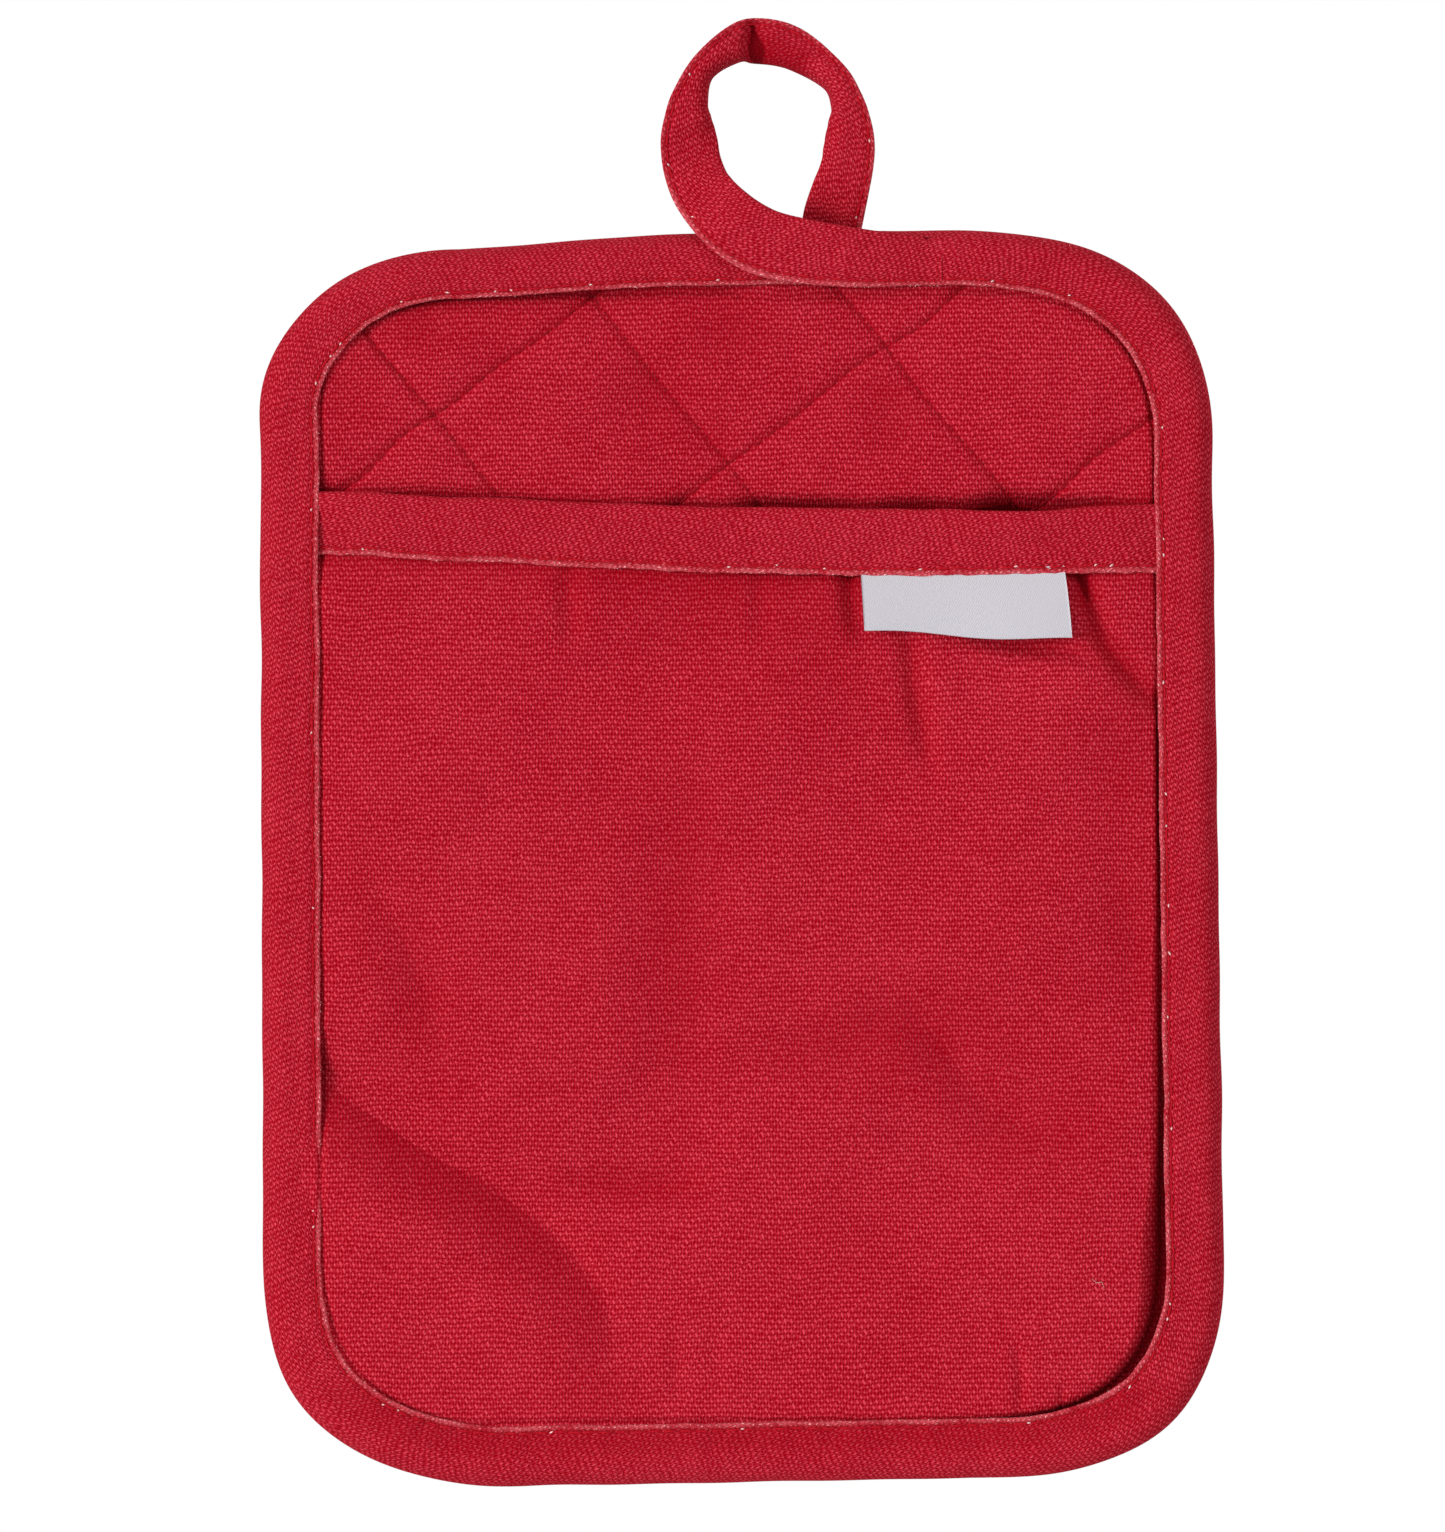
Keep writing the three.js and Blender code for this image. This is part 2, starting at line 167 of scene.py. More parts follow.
class MittSizes(bpy.types.PropertyGroup):
    """Sizes of the tapes, threads and quilting."""

    edge_width: length("Edge tape width", "From the fold to the hem of the tape round the pad", 11)
    edge_half: length("Edge tape half depth", "Half of the thickness over both legs at the pad's edge", 5.45)
    mouth_width: length("Mouth tape width", "From the fold to the hem of the tape over the pocket", 11.6)
    mouth_growth: length("Mouth tape growth", "How much wider the mouth's tape is at its right end", 1.2)
    leg: length("Tape leg", "Thickness of one leg of a tape, turned-in edge included", 1.1)
    stitch: length("Stitch", "Length of one topstitch", 2.5)
    stitch_gap: length("Stitch gap", "Length of cloth between two stitches", 0.45)
    thread: length("Thread radius", "Radius of the sewing thread", 0.19)
    row: length("Topstitching row", "How far the topstitching lies from a tape's hem", 1.25)
    puff: length("Quilting puff", "How far the quilted face stands up between its rows", 0.95)
    back_puff: length("Back puff", "How far the back stands up between the quilting rows", 1.4)


class MittCloth(bpy.types.PropertyGroup):
    """Thread counts and colours of the cloth."""

    warp_pitch: length("Canvas warp pitch", "Distance between two warp threads of the canvas", 0.564)
    weft_pitch: length("Canvas weft pitch", "Distance between two weft threads of the canvas", 0.925)
    tape_warp_pitch: length("Tape warp pitch", "Distance between two lengthwise threads of the tape", 0.43)
    tape_weft_pitch: length("Tape weft pitch", "Distance between two crosswise threads of the tape", 0.98)
    tape_slant: FloatProperty(
        name="Tape slant", description="How much the tape's threads drift across it along its length",
        default=0.34, min=-1, max=1,
    )
    red_top: colour("Red, thread tops", "Colour of the raised threads", (0.635, 0.028, 0.056))
    # The gaps' colour is partly painted shade between the threads, and the crease marks' painted shade runs
    # to it.
    red_gap: colour("Red, gaps", "Colour between the threads", (0.32, 0.0002, 0.006))
    # Painted shade at the bottom of the sharpest folds.
    red_deep_shade: colour("Red, deep folds", "Colour at the bottom of the sharpest folds", (0.1, 0.0001, 0.002))
    # Painted highlight on the highest threads of the weave.
    red_grain_highlight: colour(
        "Red, rubbed tops", "Colour of the highest threads, where the dye has gone", (0.88, 0.13, 0.165),
    )
    red_worn: colour("Red, worn", "Colour of threads rubbed pale along a fold", (0.97, 0.215, 0.255))
    red_frayed: colour("Red, frayed", "Colour of the palest threads of a worn fold", (0.97, 0.6, 0.6))
    thread_red: colour("Thread", "Colour of the sewing thread", (0.6, 0.002, 0.016))
    # Painted shade: the quilting rows' thread is darker than the topstitching's for the shaded grooves it
    # lies in.
    thread_in_shade: colour("Quilting thread", "Colour of the thread of the quilting rows", (0.34, 0.002, 0.012))
    thread_pale: colour("Pale thread", "Colour of lint and of the bobbin thread", (1.0, 0.66, 0.64))
    satin: colour("Label", "Colour of the satin label", (0.55, 0.525, 0.57))
    cotton: colour("Wadding", "Colour of the cotton wadding", (0.80, 0.75, 0.64))


class MittStage(bpy.types.PropertyGroup):
    """The camera, the lamps and the floor."""

    distance: length("Camera distance", "From the camera to the mitt", 1450, high=10)
    centre_x: length("Camera across", "Where the camera looks, across", -6.38, low=-1)
    centre_z: length("Camera height", "Where the camera looks, up", -130.06, low=-1)
    view_height: length("Frame height", "How much height the picture takes in at the mitt", 283.4)
    key: FloatProperty(name="Key", description="Strength of the key lamp", default=2.3, min=0)
    fill: FloatProperty(name="Fill", description="Strength of the lamp from the right", default=0.7, min=0)
    rear: FloatProperty(name="Rear", description="Strength of the lamp behind", default=1.0, min=0)
    ambient: FloatProperty(
        name="Ambient", description="Strength of the light from all round", default=0.46, min=0,
    )
    floor_drop: length("Floor drop", "From the mitt's lowest point down to the floor", 150)
    floor_radius: length("Floor radius", "Radius of the round floor under the mitt", 420)


# ---------------------------------------------------------------------------------------------------------
# Small mathematics


def lerp(a, b, t):
    """Runs evenly from a to b as t goes from 0 to 1."""
    return a + (b - a) * t


def ease(t):
    """Rises from 0 to 1 as t does, as three t squared less two t cubed."""
    t = np.clip(t, 0, 1)
    return t * t * (3 - 2 * t)


def bell(t):
    """A bell curve: e to the power of minus t squared."""
    return np.exp(-t * t)


def wander(s, wave, seed, waves=6):
    """An uneven wave from about -1 to 1: sines with lengths from 0.6 to 1.7 times wave and drawn phases."""
    draw = np.random.RandomState(seed)
    lengths = wave * draw.uniform(0.6, 1.7, waves)
    phases = draw.uniform(0, 2 * math.pi, waves)
    return sum(np.sin(2 * math.pi * s / k + p) for k, p in zip(lengths, phases)) / math.sqrt(waves)


def ripple(x, z, wave, seed, waves=9):
    """An uneven surface from about -1 to 1: plane sine waves of like length that run in drawn directions."""
    draw = np.random.RandomState(seed)
    total = 0
    for k, p, turn in zip(wave * draw.uniform(0.6, 1.7, waves), *draw.uniform(0, 2 * math.pi, (2, waves))):
        total = total + np.sin(2 * math.pi * (x * math.cos(turn) + z * math.sin(turn)) / k + p)
    return total / math.sqrt(waves)


def run_of(points):
    """The running length along a line of points."""
    steps = np.linalg.norm(np.diff(points, axis=0), axis=1)
    return np.concatenate([[0], np.cumsum(steps)])


def at_run(points, run, s):
    """Points (or any columns) of a line at the running lengths s, straight between its own points."""
    return np.stack([np.interp(s, run, points[:, k]) for k in range(points.shape[1])], axis=-1)


def unit(vectors):
    return vectors / np.maximum(np.linalg.norm(vectors, axis=-1, keepdims=True), 1e-12)


def spline(points, per_span):
    """A Catmull-Rom curve: each span is the cubic that leaves and meets its two points along their
    neighbours' chords. The end spans mirror their only neighbour."""
    p = np.array(points, float)
    p = np.concatenate([[2 * p[0] - p[1]], p, [2 * p[-1] - p[-2]]])
    t = np.linspace(0, 1, per_span, endpoint=False)[None, :, None]
    a, b, c, d = (p[i:len(p) - 3 + i, None, :] for i in range(4))
    cubic = 2 * b + (c - a) * t + (2 * a - 5 * b + 4 * c - d) * t**2 + (3 * b - a - 3 * c + d) * t**3
    return np.concatenate([(cubic / 2).reshape(-1, p.shape[1]), p[-2:-1]])


def off_path(x, z, path):
    """How far each point lies from a path of straight stretches, and its share of the way along it."""
    path = np.array(path, float)
    run = run_of(path)
    best, share = np.full(np.shape(x), np.inf), np.zeros(np.shape(x))
    for a, b, start, end in zip(path[:-1], path[1:], run[:-1], run[1:]):
        d = b - a
        t = np.clip(((x - a[0]) * d[0] + (z - a[1]) * d[1]) / (d @ d), 0, 1)
        away = np.hypot(x - a[0] - t * d[0], z - a[1] - t * d[1])
        share = np.where(away < best, lerp(start, end, t) / run[-1], share)
        best = np.minimum(best, away)
    return best, share


def valley(x, z, path, depth, width):
    """A fold along a smooth path: a bell across it that swells from nothing at its ends by a sine."""
    away, share = off_path(x, z, spline(path, 6))
    swell = np.sin(math.pi * np.clip(share, 0.02, 0.98)) ** 0.7
    return depth * swell * bell(away / width)


# ---------------------------------------------------------------------------------------------------------
# Outline


def corner_point(corner, inset, t):
    """A superellipse corner, inset: each run times the cosine or sine of the turn to the power of two over
    the fullness, from the corner's centre."""
    inset_z = inset * corner["share_z"]
    run_x = np.maximum(corner["run_x"] - inset, SHARPEST)
    run_z = np.maximum(corner["run_z"] - inset_z, SHARPEST)
    upward = corner["side_x"] * corner["side_z"] < 0
    angle = (1 - t if upward else t) * math.pi / 2
    power = 2 / corner["fullness"]
    x = corner["x"] - corner["side_x"] * (inset + run_x * (1 - np.cos(angle).clip(0) ** power))
    z = corner["z"] - corner["side_z"] * (inset_z + run_z * (1 - np.sin(angle).clip(0) ** power))
    return x, z


def rim(inset, tau):
    """The outline drawn inset from its edge. tau counts corners and the sides between them by turns, from
    the top left corner round by the left side, eight to the whole outline."""
    inset, tau = np.broadcast_arrays(np.asarray(inset, float), np.asarray(tau, float))
    stretch, t = np.floor(tau).astype(int) % 8, tau - np.floor(tau)
    x, z = np.zeros(tau.shape), np.zeros(tau.shape)
    for i, corner in enumerate(CORNERS):
        start = corner_point(corner, inset, np.ones_like(t))
        end = corner_point(CORNERS[(i + 1) % 4], inset, np.zeros_like(t))
        crown = TOP_CROWN * np.sin(math.pi * t) if corner is TOP_RIGHT else 0
        side = (lerp(start[0], end[0], t), lerp(start[1], end[1], t) + crown)
        turn = corner_point(corner, inset, t)
        for part, (px, pz) in ((2 * i, turn), (2 * i + 1, side)):
            x, z = np.where(stretch == part, px, x), np.where(stretch == part, pz, z)
    return x, z


TAPE_SEAM = 7.37  # the turn at which the tape round the pad starts and ends, under the loop
RIM_MIDDLE = 5.5


def rim_stations(spacing):
    """Turns of evenly spaced stations round the rim from the seam, and their running lengths."""
    tau = np.linspace(TAPE_SEAM, TAPE_SEAM + 8, 6001)
    line = np.stack(rim(RIM_MIDDLE, tau), axis=1)
    run = run_of(line)
    s = np.linspace(0, run[-1], int(run[-1] / spacing) + 1)
    return np.interp(s, run, tau), s


def top_edge(x, inset):
    """The height of the top side at x, inset: a straight line crowned by half a sine."""
    right = TOP_RIGHT["x"] - TOP_RIGHT["run_x"]
    left = TOP_LEFT["x"] + TOP_LEFT["run_x"]
    t = (right - x) / (right - left)
    ends = (TOP_RIGHT["z"] - inset * TOP_RIGHT["share_z"], TOP_LEFT["z"] - inset * TOP_LEFT["share_z"])
    return lerp(*ends, t) + TOP_CROWN * np.sin(math.pi * t)


def box_sides(x, z):
    """How far a point lies in from the nearer upright side and from the nearer level side."""
    down = np.clip((z - TOP_LEFT["z"]) / (BOTTOM_LEFT["z"] - TOP_LEFT["z"]), 0, 1)
    along = np.clip((x - TOP_LEFT["x"]) / (TOP_RIGHT["x"] - TOP_LEFT["x"]), 0, 1)
    left = x - lerp(TOP_LEFT["x"], BOTTOM_LEFT["x"], down)
    right = lerp(TOP_RIGHT["x"], BOTTOM_RIGHT["x"], down) - x
    top = lerp(TOP_LEFT["z"], TOP_RIGHT["z"], along) - z
    bottom = z - lerp(BOTTOM_LEFT["z"], BOTTOM_RIGHT["z"], along)
    return left, right, top, bottom


def depth_inside(x, z):
    """How far a point lies inside the outline. In a corner it is one less the superellipse radius, times the
    corner's run there. It stops growing past a corner's run."""
    left, right, top, bottom = box_sides(x, z)
    depth = np.zeros(np.shape(x))
    for corner in CORNERS:
        dx = left if corner["side_x"] < 0 else right
        dz = (top if corner["side_z"] > 0 else bottom) / corner["share_z"]
        a = np.clip(1 - dx / corner["run_x"], 0, 2)
        b = np.clip(1 - dz / corner["run_z"], 0, 2)
        radius = (a ** corner["fullness"] + b ** corner["fullness"]) ** (1 / corner["fullness"])
        run = (corner["run_x"] * a + corner["run_z"] * b + 1e-6) / (a + b + 1e-6 / corner["run_x"])
        nearest = ((left < right) == (corner["side_x"] < 0)) & ((top < bottom) == (corner["side_z"] > 0))
        depth = np.where(nearest, (1 - radius) * run, depth)
    return depth


def rounded(x, z, corners, inset):
    """Draws a square grid's corners in to the outline: within a corner each point keeps its direction from
    the corner's centre, and the square round that centre becomes the superellipse."""
    for corner in corners:
        run_x, run_z = corner["run_x"] - inset, corner["run_z"] - inset * corner["share_z"]
        centre_x = corner["x"] - corner["side_x"] * corner["run_x"]
        centre_z = corner["z"] - corner["side_z"] * corner["run_z"]
        a = np.clip(corner["side_x"] * (x - centre_x) / run_x, 0, None)
        b = np.clip(corner["side_z"] * (z - centre_z) / run_z, 0, None)
        inner = (a > 0) & (b > 0)
        radius = (a ** corner["fullness"] + b ** corner["fullness"]) ** (1 / corner["fullness"])
        draw = np.where(inner, np.maximum(a, b) / np.maximum(radius, 1e-9), 1)
        x = np.where(inner, centre_x + (x - centre_x) * draw, x)
        z = np.where(inner, centre_z + (z - centre_z) * draw, z)
    return x, z


def mouth_height(x):
    """The height of the pocket's mouth: a straight line less a sine that is lowest right of its middle."""
    left, right = TOP_LEFT["x"] + MOUTH["inset"], TOP_RIGHT["x"] - MOUTH["inset"]
    t = np.clip((x - left) / (right - left), 0, 1)
    return lerp(MOUTH["left_z"], MOUTH["right_z"], t) - MOUTH["sag"] * np.sin(math.pi * t ** MOUTH["skew"])


def below_tape(x, z):
    """How far a point of the face lies below the hem of the top tape, and 0 above it."""
    return np.maximum(top_edge(x, TAPE_SHOWN) - z, 0)


def below_hem(x, z):
    """How far a point of the pocket lies below the hem of the mouth's tape, and 0 above it."""
    return np.maximum(mouth_height(x) - HEM_DROP - z, 0)


def beside_hem(depth):
    """1 just inside the edge tape's hem, and 0 away from it, by a narrow bell."""
    return bell((depth - HEM_AT) / 0.55)


# ---------------------------------------------------------------------------------------------------------
# Meshes


def lattice(rows, columns, wrap_rows=False, wrap_columns=False):
    """The corners of a grid's faces, by vertex and by place on the unwrapped grid that carries its UV."""
    r = np.arange(rows if wrap_rows else rows - 1)[:, None]
    c = np.arange(columns if wrap_columns else columns - 1)[None, :]
    order = ((0, 0), (0, 1), (1, 1), (1, 0))
    vertex = [((r + i) % rows) * columns + (c + j) % columns for i, j in order]
    place = [(r + i) * (columns + 1) + (c + j) for i, j in order]
    return (np.stack(np.broadcast_arrays(*v), -1).reshape(-1, 4) for v in (vertex, place))


def write_mesh(name, points, faces, uv=None, marks=None):
    """An object from points in millimetres and arrays of faces, each with UV by face corner. Faces of a
    closed solid are all turned round if the volume that they enclose is negative."""
    points = np.asarray(points, float).reshape(-1, 3)
    volume = 0
    for f in faces:
        for k in range(1, f.shape[1] - 1):
            a, b, c = points[f[:, 0]], points[f[:, k]], points[f[:, k + 1]]
            volume += (a * np.cross(b, c)).sum()
    if volume < 0:
        faces = [f[:, ::-1] for f in faces]
        uv = uv and [w[:, ::-1] for w in uv]
    mesh = bpy.data.meshes.new(name)
    corners = np.concatenate([f.ravel() for f in faces])
    sizes = np.concatenate([np.full(len(f), f.shape[1]) for f in faces])
    mesh.vertices.add(len(points))
    mesh.vertices.foreach_set("co", (points * MM).astype(np.float32).ravel())
    mesh.loops.add(len(corners))
    mesh.loops.foreach_set("vertex_index", corners.astype(np.int32))
    mesh.polygons.add(len(sizes))
    mesh.polygons.foreach_set("loop_start", np.concatenate([[0], np.cumsum(sizes)[:-1]]).astype(np.int32))
    mesh.polygons.foreach_set("use_smooth", np.ones(len(sizes), bool))
    mesh.update(calc_edges=True)
    if uv is not None:
        layer = mesh.uv_layers.new(name="cloth")
        flat = np.concatenate([np.asarray(w, float).reshape(-1, 2) for w in uv])
        layer.data.foreach_set("uv", flat.astype(np.float32).ravel())
    for mark, values in (marks or {}).items():
        attribute = mesh.attributes.new(mark, "FLOAT", "POINT")
        attribute.data.foreach_set("value", np.asarray(values, np.float32).ravel())
    if mesh.validate(clean_customdata=False):
        raise RuntimeError(f"the mesh of {name} had faces that don't hold together")
    piece = bpy.data.objects.new(name, mesh)
    bpy.context.scene.collection.objects.link(piece)
    return piece


def solid_between(name, front, rear, marks=None):
    """A closed solid between two grids of points, joined round their rims. Its UV is x and z."""
    rows, columns = front.shape[:2]
    points = np.concatenate([front.reshape(-1, 3), rear.reshape(-1, 3)])
    quads, _ = lattice(rows, columns)
    edge = np.concatenate([
        np.arange(columns - 1),
        np.arange(rows - 1) * columns + columns - 1,
        (rows - 1) * columns + np.arange(columns - 1, 0, -1),
        np.arange(rows - 1, 0, -1) * columns,
    ])
    ahead = np.roll(edge, -1)
    half = rows * columns
    band = np.stack([ahead, edge, edge + half, ahead + half], -1)
    faces = [quads, quads[:, ::-1] + half, band]
    uv = [points[f][:, :, [0, 2]] for f in faces]
    return write_mesh(name, points, faces, uv, marks)


def sweep(name, points, u, v, ring, marks=None):
    """A closed section carried along a way: points by station and round the section. u is the place across
    the cloth of each point of the section, and v the running length of each station. The ends are zipped
    across the thin section unless the way is a ring."""
    stations, size = points.shape[:2]
    quads, place = lattice(stations, size, wrap_rows=ring, wrap_columns=True)
    grid_u, grid_v = np.append(u, u[0]), np.append(v, v[-1] + (v[-1] - v[-2]))
    uv = np.stack(np.broadcast_arrays(grid_u[None, :], grid_v[:, None]), -1).reshape(-1, 2)
    faces, corner_uv = [quads], [uv[place]]
    if not ring:
        i = np.arange(size // 2 - 1)
        strip = np.stack([i, i + 1, size - 2 - i, size - 1 - i], -1)
        for f, station in ((strip, 0), (strip[:, ::-1] + (stations - 1) * size, stations - 1)):
            faces.append(f)
            corner_uv.append(np.stack([u[f % size], np.full(f.shape, v[station])], -1))
    return write_mesh(name, points, faces, corner_uv, marks)


def finish_piece(piece, material):
    piece.data.materials.append(material)
    return piece


# ---------------------------------------------------------------------------------------------------------
# Shading


class Signal:
    """A value that runs through a material's nodes. Arithmetic on it adds Math nodes."""

    def __init__(self, shade, socket):
        self.shade, self.socket = shade, socket

    def math(self, operation, *others):
        sockets = dict(enumerate((self, *others)))
        return self.shade.node("ShaderNodeMath", {"operation": operation}, sockets)

    def __add__(self, other):
        return self.math("ADD", other)

    def __mul__(self, other):
        return self.math("MULTIPLY", other)

    def __sub__(self, other):
        return self.math("SUBTRACT", other)

    __radd__, __rmul__ = __add__, __mul__

    def power(self, exponent):
        return self.math("POWER", exponent)

    def cosine(self):
        return self.math("COSINE")

    def absolute(self):
        return self.math("ABSOLUTE")

    def above(self, floor):
        return self.math("MAXIMUM", floor)

    def below(self, ceiling):
        return self.math("MINIMUM", ceiling)

    def rise(self, low, high):
        """0 below low, 1 above high and smooth between."""
        sockets = {"Value": self, "From Min": low, "From Max": high}
        return self.shade.node("ShaderNodeMapRange", {"interpolation_type": "SMOOTHSTEP"}, sockets)


class Shade:
    """The nodes of one material, round a Principled shader."""

    def __init__(self, name, **constants):
        self.material = bpy.data.materials.new(name)
        self.material.use_nodes = True
        self.tree = self.material.node_tree
        self.surface = self.tree.nodes["Principled BSDF"]
        for socket, value in constants.items():
            self.surface.inputs[socket.replace("_", " ")].default_value = value

    def node(self, kind, settings=None, sockets=None, output=0):
        """Adds a node: its settings first, then its sockets' values or links. Gives one of its outputs."""
        made = self.tree.nodes.new(kind)
        for setting, value in (settings or {}).items():
            setattr(made, setting, value)
        for socket, value in (sockets or {}).items():
            if isinstance(value, Signal):
                self.tree.links.new(value.socket, made.inputs[socket])
            else:
                made.inputs[socket].default_value = value
        return Signal(self, made.outputs[output])

    def feed(self, **signals):
        for socket, signal in signals.items():
            self.tree.links.new(signal.socket, self.surface.inputs[socket.replace("_", " ")])

    def mark(self, name):
        return self.node("ShaderNodeAttribute", {"attribute_name": name}, output="Fac")

    def cloth_place(self):
        """The place across and along the cloth, in millimetres."""
        place = self.node("ShaderNodeUVMap", {"uv_map": "cloth"})
        across = self.node("ShaderNodeSeparateXYZ", sockets={0: place})
        return across, Signal(self, across.socket.node.outputs["Y"])

    def vector(self, x, y, z=0.0):
        return self.node("ShaderNodeCombineXYZ", sockets={0: x, 1: y, 2: z})

    def noise(self, vector, scale, detail=2.0, roughness=0.5):
        sockets = {"Vector": vector, "Scale": scale, "Detail": detail, "Roughness": roughness}
        return self.node("ShaderNodeTexNoise", sockets=sockets)

    def mix(self, factor, a, b):
        """Two colours mixed by a factor; each is a colour or a signal."""
        a, b = (c if isinstance(c, Signal) else (*c, 1) for c in (a, b))
        return self.node("ShaderNodeMix", {"data_type": "RGBA"}, {0: factor, 6: a, 7: b}, output=2)

    def bump(self, height, distance, strength=1.0, under=None):
        sockets = {"Height": height, "Distance": distance, "Strength": strength}
        if under:
            sockets["Normal"] = under
        return self.node("ShaderNodeBump", sockets=sockets)


WEFT_SHARE = 0.15
GRAIN_POWER = 0.7
GRAIN_SLANT = 0.1
GRAIN_SHARE = 0.7
GAP_SHARE = 0.7
WEAVE_LEVEL = 0.52
TAPE_LOOSENESS = 1.5


def woven(shade, across, along, warp_pitch, weft_pitch, loose):
    """A plain weave: the product of the cosines of the places in threads is 1 where a lengthwise thread lies
    on top and -1 where a crosswise one does. The product of their sines is 1 in the gaps, where four grains
    meet. Each grain slants by a sine. Threads waver, and swell and fade by noise drawn out along them. A
    loose weave also lets neighbouring lengthwise threads slip past each other."""
    coarse = shade.vector(across, along)
    p = across * (1 / warp_pitch) + (shade.noise(coarse, 0.11) - 0.5) * 2.6
    q = along * (1 / weft_pitch) + (shade.noise(coarse, 0.09, detail=3.0) - 0.5) * 2.2
    stray = shade.noise(coarse, 0.9 / weft_pitch, detail=1.0)
    slip = shade.noise(shade.vector(across * (0.8 / warp_pitch), along * 0.12), 1.0, detail=1.0) - 0.5
    p, q = p + (stray - 0.5) * 0.9, q - (stray - 0.5) * 1.1 + slip * loose
    p = p + (q * (2 * math.pi) - math.pi / 2).cosine() * GRAIN_SLANT
    cross = (p * math.pi).cosine() * (q * math.pi).cosine()
    gap = ((p * math.pi - math.pi / 2).cosine() * (q * math.pi - math.pi / 2).cosine()).absolute()
    warp_swell = shade.noise(shade.vector(across * (1.1 / warp_pitch), along * 0.16), 1.0) * 0.5 + 0.75
    weft_swell = shade.noise(shade.vector(across * 0.12, along * (1.1 / weft_pitch)), 1.0) * 0.5 + 0.75
    grain = shade.noise(shade.vector(p, q), 1.0, detail=1.0) + 0.5
    warp = cross.above(0.0).power(GRAIN_POWER) * warp_swell * grain
    weft = (cross * -1).above(0.0).power(GRAIN_POWER) * weft_swell * WEFT_SHARE
    return (warp + weft) * GRAIN_SHARE - gap * GAP_SHARE + WEAVE_LEVEL


def cloth(name, colours, warp_pitch, weft_pitch, slant=0.0, worn=False):
    """Washed cotton canvas. Base Color runs from the gaps' to the thread tops' by the weave's height; the
    gaps' dark is partly painted shade between the threads, and the highest tops take a painted highlight.
    It is mottled by two slow noises, darkens with painted shade by the crease marks, most in the sharpest
    folds, and turns pale where a fold is worn."""
    shade = Shade(name, Roughness=0.92, Sheen_Weight=0.03, Sheen_Roughness=0.45, Specular_IOR_Level=0.02)
    shade.surface.inputs["Sheen Tint"].default_value = (1.0, 0.15, 0.2, 1)
    u, v = shade.cloth_place()
    square = 1 / math.hypot(1, slant)
    across, along = (u + v * slant) * square, (v - u * slant) * square
    loose = TAPE_LOOSENESS if worn else 0.0
    height = woven(shade, across, along, warp_pitch / MM, weft_pitch / MM, loose)
    place = shade.vector(u, v)
    grit = shade.noise(place, 2.6, detail=2.0, roughness=0.7) - 0.5
    mottle = (shade.noise(place, 0.16, detail=4.0, roughness=0.6) - 0.5) * 0.34
    cloud = (shade.noise(place, 0.022, detail=2.0) - 0.5) * 0.22
    tone = (height + grit * 1.3 + mottle + cloud).above(0.0).below(1.25)
    # The gaps' darker colour is partly painted shade between the threads.
    red = shade.mix(tone.below(1.0), colours.red_gap, colours.red_top)
    # Painted highlight on the highest threads.
    red = shade.mix(tone.rise(0.55, 1.25) * 0.4, red, colours.red_grain_highlight)
    # Painted shade along the crease marks, darkest in the sharpest folds.
    red = shade.mix(shade.mark("crease") * 0.8, red, colours.red_gap)
    red = shade.mix(shade.mark("crease").rise(0.86, 1.0) * 0.72, red, colours.red_deep_shade)
    if worn:
        rubbed = shade.noise(shade.vector(u * 1.4, v), 2.4, detail=3.0, roughness=0.75)
        speck = rubbed.rise(0.475, 0.575) * height.rise(0.38, 0.78)
        red = shade.mix(shade.mark("worn") * (speck * 0.66 + 0.28), red, colours.red_worn)
        frayed = rubbed.rise(0.525, 0.605) * height.rise(0.5, 0.85)
        red = shade.mix(shade.mark("worn") * frayed * 0.95, red, colours.red_frayed)
    relief = height + grit * 0.35
    shade.feed(Base_Color=red, Normal=shade.bump(relief, 0.13 * MM))
    return shade.material


def thread(name, base, shadow=0.62):
    """Twisted thread: a slanting sine round and along it makes the plies, in Base Color and relief."""
    shade = Shade(name, Roughness=0.6, Sheen_Weight=0.02, Specular_IOR_Level=0.1)
    u, v = shade.cloth_place()
    ply = ((u * 2 + v * 1.6) * (2 * math.pi)).cosine() * 0.5 + 0.5
    dark = tuple(shadow * c for c in base)
    shade.feed(Base_Color=shade.mix(ply, dark, tuple(base)), Normal=shade.bump(ply, 0.05 * MM))
    return shade.material


def satin(name, base):
    """Woven satin ribbon: fine slanting floats as a cosine of the sum of the places, and faint cross ribs."""
    shade = Shade(name, Roughness=0.42, Sheen_Weight=0.05, Specular_IOR_Level=0.35)
    u, v = shade.cloth_place()
    float_line = ((u * 1.7 + v * 2.3) * (2 * math.pi)).cosine() * 0.5 + 0.5
    rib = ((v * 3.4) * (2 * math.pi)).cosine() * 0.5 + 0.5
    grit = shade.noise(shade.vector(u * 0.7, v * 3), 2.0, detail=2.0)
    tone = float_line * 0.35 + rib * 0.25 + grit * 0.4
    shadow = tuple(0.72 * c for c in base)
    light = tuple(min(1, 1.27 * c) for c in base)
    shade.feed(Base_Color=shade.mix(tone, shadow, light), Normal=shade.bump(tone, 0.03 * MM, 0.7))
    return shade.material


